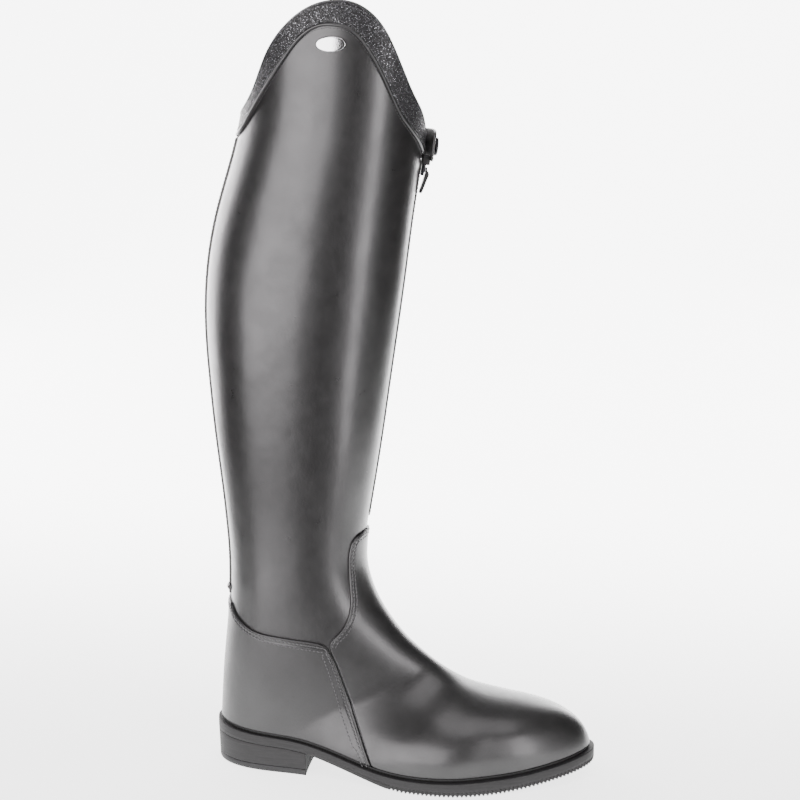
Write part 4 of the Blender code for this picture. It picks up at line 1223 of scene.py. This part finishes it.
# stitches
def threadTree():  # curve in, small capsules along it out
    tree = bpy.data.node_groups.new("stitchRow", "GeometryNodeTree")
    for label, kind in (("Line", "Geometry"), ("Pitch", "Float"), ("Thread", "Float"), ("Length", "Float"),
                        ("Material", "Material")):
        tree.interface.new_socket(label, in_out="INPUT", socket_type="NodeSocket" + kind)
    tree.interface.new_socket("Stitches", in_out="OUTPUT", socket_type="NodeSocketGeometry")
    nodesHere, links = tree.nodes, tree.links
    start = nodesHere.new("NodeGroupInput")
    end = nodesHere.new("NodeGroupOutput")
    resample = nodesHere.new("GeometryNodeResampleCurve")
    if "Mode" in resample.inputs:
        resample.inputs["Mode"].default_value = "Length"
    else:
        resample.mode = "LENGTH"
    tangent = nodesHere.new("GeometryNodeInputTangent")
    align = nodesHere.new("FunctionNodeAlignRotationToVector")
    align.axis = "Z"
    ball = nodesHere.new("GeometryNodeMeshUVSphere")
    ball.inputs["Segments"].default_value = 6
    ball.inputs["Rings"].default_value = 5
    ball.inputs["Radius"].default_value = 1.0
    size = nodesHere.new("ShaderNodeCombineXYZ")
    place = nodesHere.new("GeometryNodeInstanceOnPoints")
    shade = nodesHere.new("GeometryNodeSetMaterial")
    real = nodesHere.new("GeometryNodeRealizeInstances")
    links.new(start.outputs["Line"], resample.inputs["Curve"])
    links.new(start.outputs["Pitch"], resample.inputs["Length"])
    links.new(tangent.outputs[0], align.inputs["Vector"])
    links.new(start.outputs["Thread"], size.inputs[0])
    links.new(start.outputs["Thread"], size.inputs[1])
    links.new(start.outputs["Length"], size.inputs[2])
    links.new(resample.outputs[0], place.inputs["Points"])
    links.new(ball.outputs[0], place.inputs["Instance"])
    links.new(align.outputs[0], place.inputs["Rotation"])
    links.new(size.outputs[0], place.inputs["Scale"])
    links.new(place.outputs[0], real.inputs[0])
    links.new(real.outputs[0], shade.inputs["Geometry"])
    links.new(start.outputs["Material"], shade.inputs["Material"])
    links.new(shade.outputs[0], end.inputs[0])
    return tree


stitchTree = threadTree()


def stitchRow(name, points, pitch=2.9, thread=0.48, share=0.36, closed=False, body="boot"):
    curve = bpy.data.curves.new(name + "Line", "CURVE")
    curve.dimensions = "3D"
    line = curve.splines.new("POLY")
    line.points.add(len(points) - 1)
    line.points.foreach_set("co", np.concatenate([toRow(points), np.ones((len(points), 1))], 1).ravel())
    line.use_cyclic_u = closed
    holder = bpy.data.objects.new(name + "Line", curve)
    bpy.context.scene.collection.objects.link(holder)
    modifier = holder.modifiers.new("row", "NODES")
    modifier.node_group = stitchTree
    sockets = {item.name: item.identifier for item in stitchTree.interface.items_tree if item.in_out == "INPUT"}
    modifier[sockets["Pitch"]] = pitch * mm
    modifier[sockets["Thread"]] = thread * mm
    modifier[sockets["Length"]] = pitch * share * mm
    modifier[sockets["Material"]] = seamThread
    graph = bpy.context.evaluated_depsgraph_get()
    mesh = bpy.data.meshes.new_from_object(holder.evaluated_get(graph))
    bpy.data.objects.remove(holder)
    mesh.polygons.foreach_set("use_smooth", [True] * len(mesh.polygons))
    piece = bpy.data.objects.new(name, mesh)
    bpy.context.scene.collection.objects.link(piece)
    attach(piece, body)
    return piece


def upLift(u, a, amount):
    return onSkin(u, a, amount + leatherLift(u, a))


# counter: two rows below its top edge and along its front edge, both sides
for rowNumber, distance in enumerate(seamRows):
    for mark, sign in (("Lateral", 1.0), ("Medial", -1.0)):
        alongTop = coons(np.linspace(0.0, 1.0 - distance / topLength, 160), np.array([distance / downLength]),
                         evenly(backLine, shares=np.array([distance / downLength]))[0],
                         evenly(counterFrontLine, shares=np.array([distance / downLength]))[0],
                         evenly(counterTopLine, shares=np.linspace(0.0, 1.0 - distance / topLength, 160))[0],
                         evenly(featherLine, shares=np.linspace(0.0, 1.0 - distance / topLength, 160))[0])[0]
        downShares = np.linspace(distance / downLength, 0.995, 160)
        sideShare = np.array([1.0 - distance / topLength])
        alongFront = coons(sideShare, downShares, evenly(backLine, shares=downShares)[0],
                           evenly(counterFrontLine, shares=downShares)[0],
                           evenly(counterTopLine, shares=sideShare)[0],
                           evenly(featherLine, shares=sideShare)[0])[:, 0]
        path = np.concatenate([alongTop[:-2], alongFront[1:]])
        angle = path[:, 1] if sign > 0 else 2.0 * math.pi - path[:, 1]
        stitchRow("counterStitch%s%d" % (mark, rowNumber), upLift(path[:, 0], angle, 1.86))

# vamp: two rows inside its rear edge
for rowNumber, distance in enumerate(seamRows):
    stop = int(np.argmax(vampLine[:, 0] > 14.35))
    edge = vampLine[:stop]
    for mark, sign in (("Lateral", 1.0), ("Medial", -1.0)):
        tangentWay = np.gradient(edge, axis=0)
        acrossWay = skin(edge[:, 0], edge[:, 1] + 0.01) - skin(edge[:, 0], edge[:, 1] - 0.01)
        downWay = skin(edge[:, 0] + 0.05, edge[:, 1]) - skin(edge[:, 0] - 0.05, edge[:, 1])
        metricA = np.linalg.norm(acrossWay, axis=1) / 0.02  # mm per radian
        metricU = np.linalg.norm(downWay, axis=1) / 0.1     # mm per row
        du, da = tangentWay[:, 0] * metricU, tangentWay[:, 1] * metricA
        size = np.hypot(du, da)
        inU, inA = da / size, -du / size  # turned towards the front of the foot
        u = edge[:, 0] + inU * distance / metricU
        a = edge[:, 1] + inA * distance / metricA
        keep = (a > 0.03) & (u < 14.5)
        stitchRow("vampStitch%s%d" % (mark, rowNumber), upLift(u[keep], sign * a[keep], 1.62))

# cuff: one row below the collar, one above the piping
stitchRow("cuffStitchTop", upLift(rowAt(collarZ(fineAngles) - 2.6), fineAngles, 1.70), 2.5, 0.30, closed=True)
stitchRow("cuffStitchLow", upLift(rowAt(cuffEdgeZ(fineAngles) + 3.2), fineAngles, 1.70), 2.5, 0.30, closed=True)
# shaft: one row just below the piping
stitchRow("shaftStitch", upLift(rowAt(cuffEdgeZ(fineAngles) - 2.4), fineAngles, 0.08), 2.5, 0.28, closed=True)
# back strip
stripZ = np.linspace(stripValues["high"] - 2.0, stripValues["low"] + 2.0, 300)
for mark, degrees in (("Left", 173.6), ("Right", 186.4)):
    angle = np.full(len(stripZ), math.radians(degrees))
    stitchRow("stripStitch" + mark, upLift(rowAt(stripZ), angle, 1.83), 2.8, 0.24)
# strap
ringDegrees = np.concatenate([np.linspace(-64.0, -6.0, 120), np.linspace(-6.0, -64.0, 120)])
ringSide = np.concatenate([np.full(120, 1.0), np.full(120, -1.0)])
seamMiddle, seamHalf, seamClear = (fit(ringDegrees) for fit in strapFits)
seamUp = seamClear + 0.35 + strapValues["thick"] * 0.75 + 0.03
strapSeam = onSkin(rowAt(seamMiddle + ringSide * (seamHalf - 1.9)), np.radians(ringDegrees), seamUp)
stitchRow("strapStitch", strapSeam, 2.6, 0.24, closed=True)
print("stitches done")


# zip: tape, leather lips, teeth, slider and pull
zipValues = {
    "middle": -13.0, "half": 8.5, "low": 192.0, "high": 450.0, "lip": 2.75, "toothPitch": 1.55,
    "toothTop": 436.0, "slider": 444.0,
}
lookZip = {"rows": 120, "cols": 16, "edgeRound": 0.3}
bandPiece("zipTapeCloth", zipValues["low"], zipValues["high"], zipValues["half"] - 0.3, zipValues["middle"],
          0.2, 0.12, lookZip, tapeCloth, "zip_tape", 0.04)
lookLip = {"rows": 120, "cols": 16, "edgeRound": 0.45}
for mark, sign in (("Front", 1.0), ("Medial", -1.0)):
    lipMiddle = zipValues["middle"] + sign * (zipValues["half"] - zipValues["lip"])
    bandPiece("zipLip" + mark, zipValues["low"] - 2.5, zipValues["high"] - 1.0, zipValues["lip"], lipMiddle,
              0.6, 0.3, lookLip, stripLeather, None, 0.2)
    seamZ = np.linspace(zipValues["low"], zipValues["high"] - 4.0, 240)
    seamA = np.full(len(seamZ), math.radians(lipMiddle - sign * 0.6))
    stitchRow("zipStitch" + mark, upLift(rowAt(seamZ), seamA, 0.92), 2.7, 0.26)


def toothMesh():  # one closed tooth, 12 faces
    bm = bmesh.new()
    bmesh.ops.create_cube(bm, size=1.0)
    topEdges = [edge for edge in bm.edges if min(vert.co.z for vert in edge.verts) > 0.0]
    bmesh.ops.bevel(bm, geom=topEdges, offset=0.18, segments=1, affect="EDGES")
    mesh = bpy.data.meshes.new("zipTooth")
    bm.to_mesh(mesh)
    bm.free()
    return mesh


def placeBlocks(name, centres, ways, ups, size, material, node=None):
    source = toothMesh()
    base = np.array([v.co[:] for v in source.vertices])
    polys = [tuple(p.vertices) for p in source.polygons]
    verts, faces = [], []
    for i, (c, w, n) in enumerate(zip(centres, ways, ups)):
        side = np.cross(n, w)
        frameHere = np.stack([side, w, n])
        verts.append(c + (base * size) @ frameHere)
        faces.extend([tuple(k + i * len(base) for k in poly) for poly in polys])
    piece = meshObject(name, toRow(np.concatenate(verts)), faces, material, smooth=False)
    if node:
        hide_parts(node)
    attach(piece, "boot")
    return piece


toothZ = np.arange(zipValues["low"] + 3.0, zipValues["toothTop"], zipValues["toothPitch"])
toothSide = np.where(np.arange(len(toothZ)) % 2 == 0, 1.0, -1.0)
toothA = np.radians(zipValues["middle"] + toothSide * 0.75)
toothU = rowAt(toothZ)
toothCentre = upLift(toothU, toothA, 0.72)
toothUp = skinNormal(toothU, toothA)
toothWay = skin(toothU - 0.02, toothA) - skin(toothU + 0.02, toothA)
toothWay /= np.linalg.norm(toothWay, axis=1, keepdims=True)
placeBlocks("zipTeethRow", toothCentre, toothWay, toothUp, np.array([2.3, 1.05, 0.9]), teethMetal, "zip_teeth")


def zipFrame(z, degrees):
    u, a = rowAt(z), math.radians(degrees)
    centre = onSkin(u, a, 0.0)
    out = skinNormal(np.array([u]), np.array([a]))[0]
    side = np.array([-out[1], out[0], 0.0])
    side /= np.linalg.norm(side)
    return centre, side, np.cross(out, side), out


def softBlock(name, place, outline, lows, highs, bevel, material, body="boot", node=None):
    # flat piece with a rolled edge: outline in side and up, thickness between lows and highs per point
    centre, side, up, out = place
    outline = np.asarray(outline, float)
    halfWide = 0.5 * np.ptp(outline[:, 0])
    lowEnd = outline[:, 1].min() + halfWide
    highEnd = max(outline[:, 1].max() - halfWide, lowEnd)
    axisUp = np.clip(outline[:, 1], lowEnd, highEnd)
    middle = np.stack([np.full(len(outline), outline[:, 0].mean()), axisUp], -1)
    lows = np.broadcast_to(np.asarray(lows, float), (len(outline),))
    highs = np.broadcast_to(np.asarray(highs, float), (len(outline),))
    inward = middle - outline
    reach = np.linalg.norm(inward, axis=1, keepdims=True)
    inward = inward / reach
    rings = []
    roll = [(9.0, 0.0), (1.0, 0.0), (0.45, 0.16), (0.12, 0.5), (0.0, 1.0)]  # inset and drop, in bevels
    steps = [("high", *step) for step in roll] + [("low", *step) for step in roll[::-1]]
    for face, inset, drop in steps:
        xy = outline + inward * np.minimum(inset * bevel, reach * 0.9)
        h = highs - drop * bevel if face == "high" else lows + drop * bevel
        rings.append(centre + xy[:, :1] * side + xy[:, 1:] * up + h[:, None] * out)
    n = len(outline)
    verts = np.concatenate(rings)
    faces = gridFaces(len(rings), n, 0, True)
    faces.append(tuple(range(n)))
    faces.append(tuple((len(rings) - 1) * n + j for j in range(n)))
    piece = meshObject(name, toRow(verts), faces, material)
    if node:
        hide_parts(node)
    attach(piece, body)
    return piece


def tongue(wideTop, wideLow, top, low, corner, count=12):
    # outline with round corners, wider at one end
    points = []
    for sx, sy, start in ((1, 1, 0.0), (-1, 1, 0.5), (-1, -1, 1.0), (1, -1, 1.5)):
        wide = wideTop if sy > 0 else wideLow
        edge = top if sy > 0 else low
        for k in range(count):
            turn = math.pi * (start + 0.5 * k / (count - 1))
            across = sx * (wide - corner) + corner * math.cos(turn)
            points.append((across, edge - sy * corner + corner * math.sin(turn)))
    return np.array(points)


def densified(outline, step=0.8):  # extra points on the long straight runs
    points = []
    for here, there in zip(outline, np.roll(outline, -1, 0)):
        count = max(1, int(np.linalg.norm(there - here) / step))
        points.extend(here + (there - here) * k / count for k in range(count))
    return np.array(points)


def pullSpan(up):  # inner and outer face of the pull below its hinge: a thin eye, then a tapering tongue
    low = np.interp(up, (-18.0, -3.5), (2.3, 4.75))
    high = np.interp(up, (-18.0, -4.2, -2.6, -1.2), (4.0, 7.5, 6.9, 5.65))
    return low, high


place = zipFrame(zipValues["slider"], zipValues["middle"])
sliderOutline = tongue(4.5, 3.3, 4.5, -5.5, 1.6)
softBlock("sliderBody", place, sliderOutline, 1.45, 3.7, 0.7, blackMetal, node="zip_slider")
bridge = tongue(1.5, 1.5, 3.4, -3.2, 0.9, 8)
softBlock("sliderBridge", place, bridge, 3.3, 4.5, 0.35, blackMetal)
pullOutline = densified(tongue(2.4, 3.1, 0.45, -18.0, 1.3))
pullLow, pullTop = pullSpan(pullOutline[:, 1])
softBlock("pullLeather", place, pullOutline, pullLow, pullTop, 0.35, tabLeather, "zip_pull", "zip_pull")
guard = zipFrame(449.0, zipValues["middle"])
softBlock("zipGuard", guard, tongue(4.2, 4.2, 3.6, -2.7, 1.0), 0.9, 6.7, 0.6, tabLeather)
pullSeam = densified(tongue(1.6, 2.2, -4.4, -16.9, 0.9))
pullHigh = pullSpan(pullSeam[:, 1])[1]
centre, side, up, out = place
pullPoints = centre + pullSeam[:, :1] * side + pullSeam[:, 1:] * up + (pullHigh[:, None] + 0.02) * out
stitchRow("pullStitch", pullPoints, 2.1, 0.2, closed=True, body="zip_pull")
for slot in nodes["insole"].material_slots:
    slot.material = sockLeather
print("zip done")


# camera and light
cameraValues = {
    "lens": 100.7, "distance": 1.6, "azimuth": 11.0, "elevation": 14.0, "target": (-0.00016, 0.00125, 0.278),
}
target = Vector(cameraValues["target"])
azimuth = math.radians(cameraValues["azimuth"])
elevation = math.radians(cameraValues["elevation"])
camData = bpy.data.cameras.new("photoCamera")
camData.lens = cameraValues["lens"]
cam = bpy.data.objects.new("photoCamera", camData)
bpy.context.scene.collection.objects.link(cam)
flatShare = math.cos(elevation)
away = Vector((math.sin(azimuth) * flatShare, -math.cos(azimuth) * flatShare, math.sin(elevation)))
cam.location = target + cameraValues["distance"] * away
cam.rotation_euler = (target - cam.location).to_track_quat("-Z", "Y").to_euler()
bpy.context.scene.camera = cam

# name: degrees from the lateral side towards the toe, distance, middle height, width, height, radiance
cards = {
    "key": (-27.0, 2.2, 0.34, 1.9, 1.85, 8.2),
    "right": (51.0, 1.7, 0.35, 0.42, 1.9, 12.0),
    "leftBack": (-124.0, 1.5, 0.62, 1.1, 1.6, 10.0),
    "rightBack": (160.0, 1.5, 0.30, 0.5, 2.2, 5.0),
}


def card(name, degrees, distance, height, wide, tall, radiance, aimZ=None):
    data = bpy.data.lights.new(name, "AREA")
    data.shape = "RECTANGLE"
    data.size, data.size_y = wide, tall
    data.energy = radiance * math.pi * wide * tall
    data.color = (1.0, 0.965, 0.985)
    obj = bpy.data.objects.new(name, data)
    bpy.context.scene.collection.objects.link(obj)
    turned = math.radians(degrees)
    place = Vector((math.sin(turned) * distance, -math.cos(turned) * distance, height))
    obj.location = place
    aim = Vector((0.0, 0.0, height if aimZ is None else aimZ))
    obj.rotation_euler = (aim - place).to_track_quat("-Z", "Y").to_euler()
    return obj


for name, values in cards.items():
    card("card" + name[0].upper() + name[1:], *values)
card("cardTop", 25.0, 0.7, 1.9, 1.5, 1.1, 3.6, 0.0)

floorMat = Shader("floorWhite", roughness=0.75, specular=0.2)
spots = floorMat.noise(floorMat.place(), 0.004, 2.0, 0.4)
white = floorMat.mix(spots, (0.93, 0.93, 0.93, 1.0), (0.95, 0.95, 0.95, 1.0))
floorMat.set("color", floorMat.mix(spots, (0.55, 0.55, 0.55, 1.0), (0.58, 0.58, 0.58, 1.0)))
floorY = floorMat.parts(floorMat.place())[1]
nearGlow = floorMat.mix(floorMat.ramp(floorY, -210.0, -120.0), (0.03, 0.03, 0.03, 1.0), (0.40, 0.40, 0.40, 1.0))
glow = floorMat.mix(floorMat.ramp(floorY, -50.0, 700.0), nearGlow, white)
floorMat.tree.links.new(glow.socket, floorMat.bsdf.inputs["Emission Color"])
floorMat.bsdf.inputs["Emission Strength"].default_value = 7.0
floorMesh = bpy.data.meshes.new("floor")
profile = [  # along Y, height, half width
    (-0.34, 0.0, 0.42), (0.0, 0.0, 0.46), (0.5, 0.0, 0.56), (1.1, 0.0, 0.70), (1.35, 0.03, 0.80),
    (1.6, 0.12, 0.92), (1.8, 0.28, 1.0), (1.95, 0.5, 1.05), (2.05, 0.8, 1.1), (2.1, 1.6, 1.1),
]
floorVerts = [(sign * half - 0.19 * max(y, 0.0), y, z) for y, z, half in profile for sign in (-1.0, 1.0)]
floorFaces = [(2 * i, 2 * i + 1, 2 * i + 3, 2 * i + 2) for i in range(len(profile) - 1)]
floorMesh.from_pydata(floorVerts, [], floorFaces)
floorMesh.polygons.foreach_set("use_smooth", [True] * len(floorMesh.polygons))
floorMesh.materials.append(floorMat.mat)
floor = bpy.data.objects.new("floor", floorMesh)
bpy.context.scene.collection.objects.link(floor)
world = bpy.data.worlds.new("studio")
world.use_nodes = True
world.node_tree.nodes["Background"].inputs[0].default_value = (1.0, 1.0, 1.0, 1.0)
world.node_tree.nodes["Background"].inputs[1].default_value = 0.06
bpy.context.scene.world = world
print("camera and lights ready")
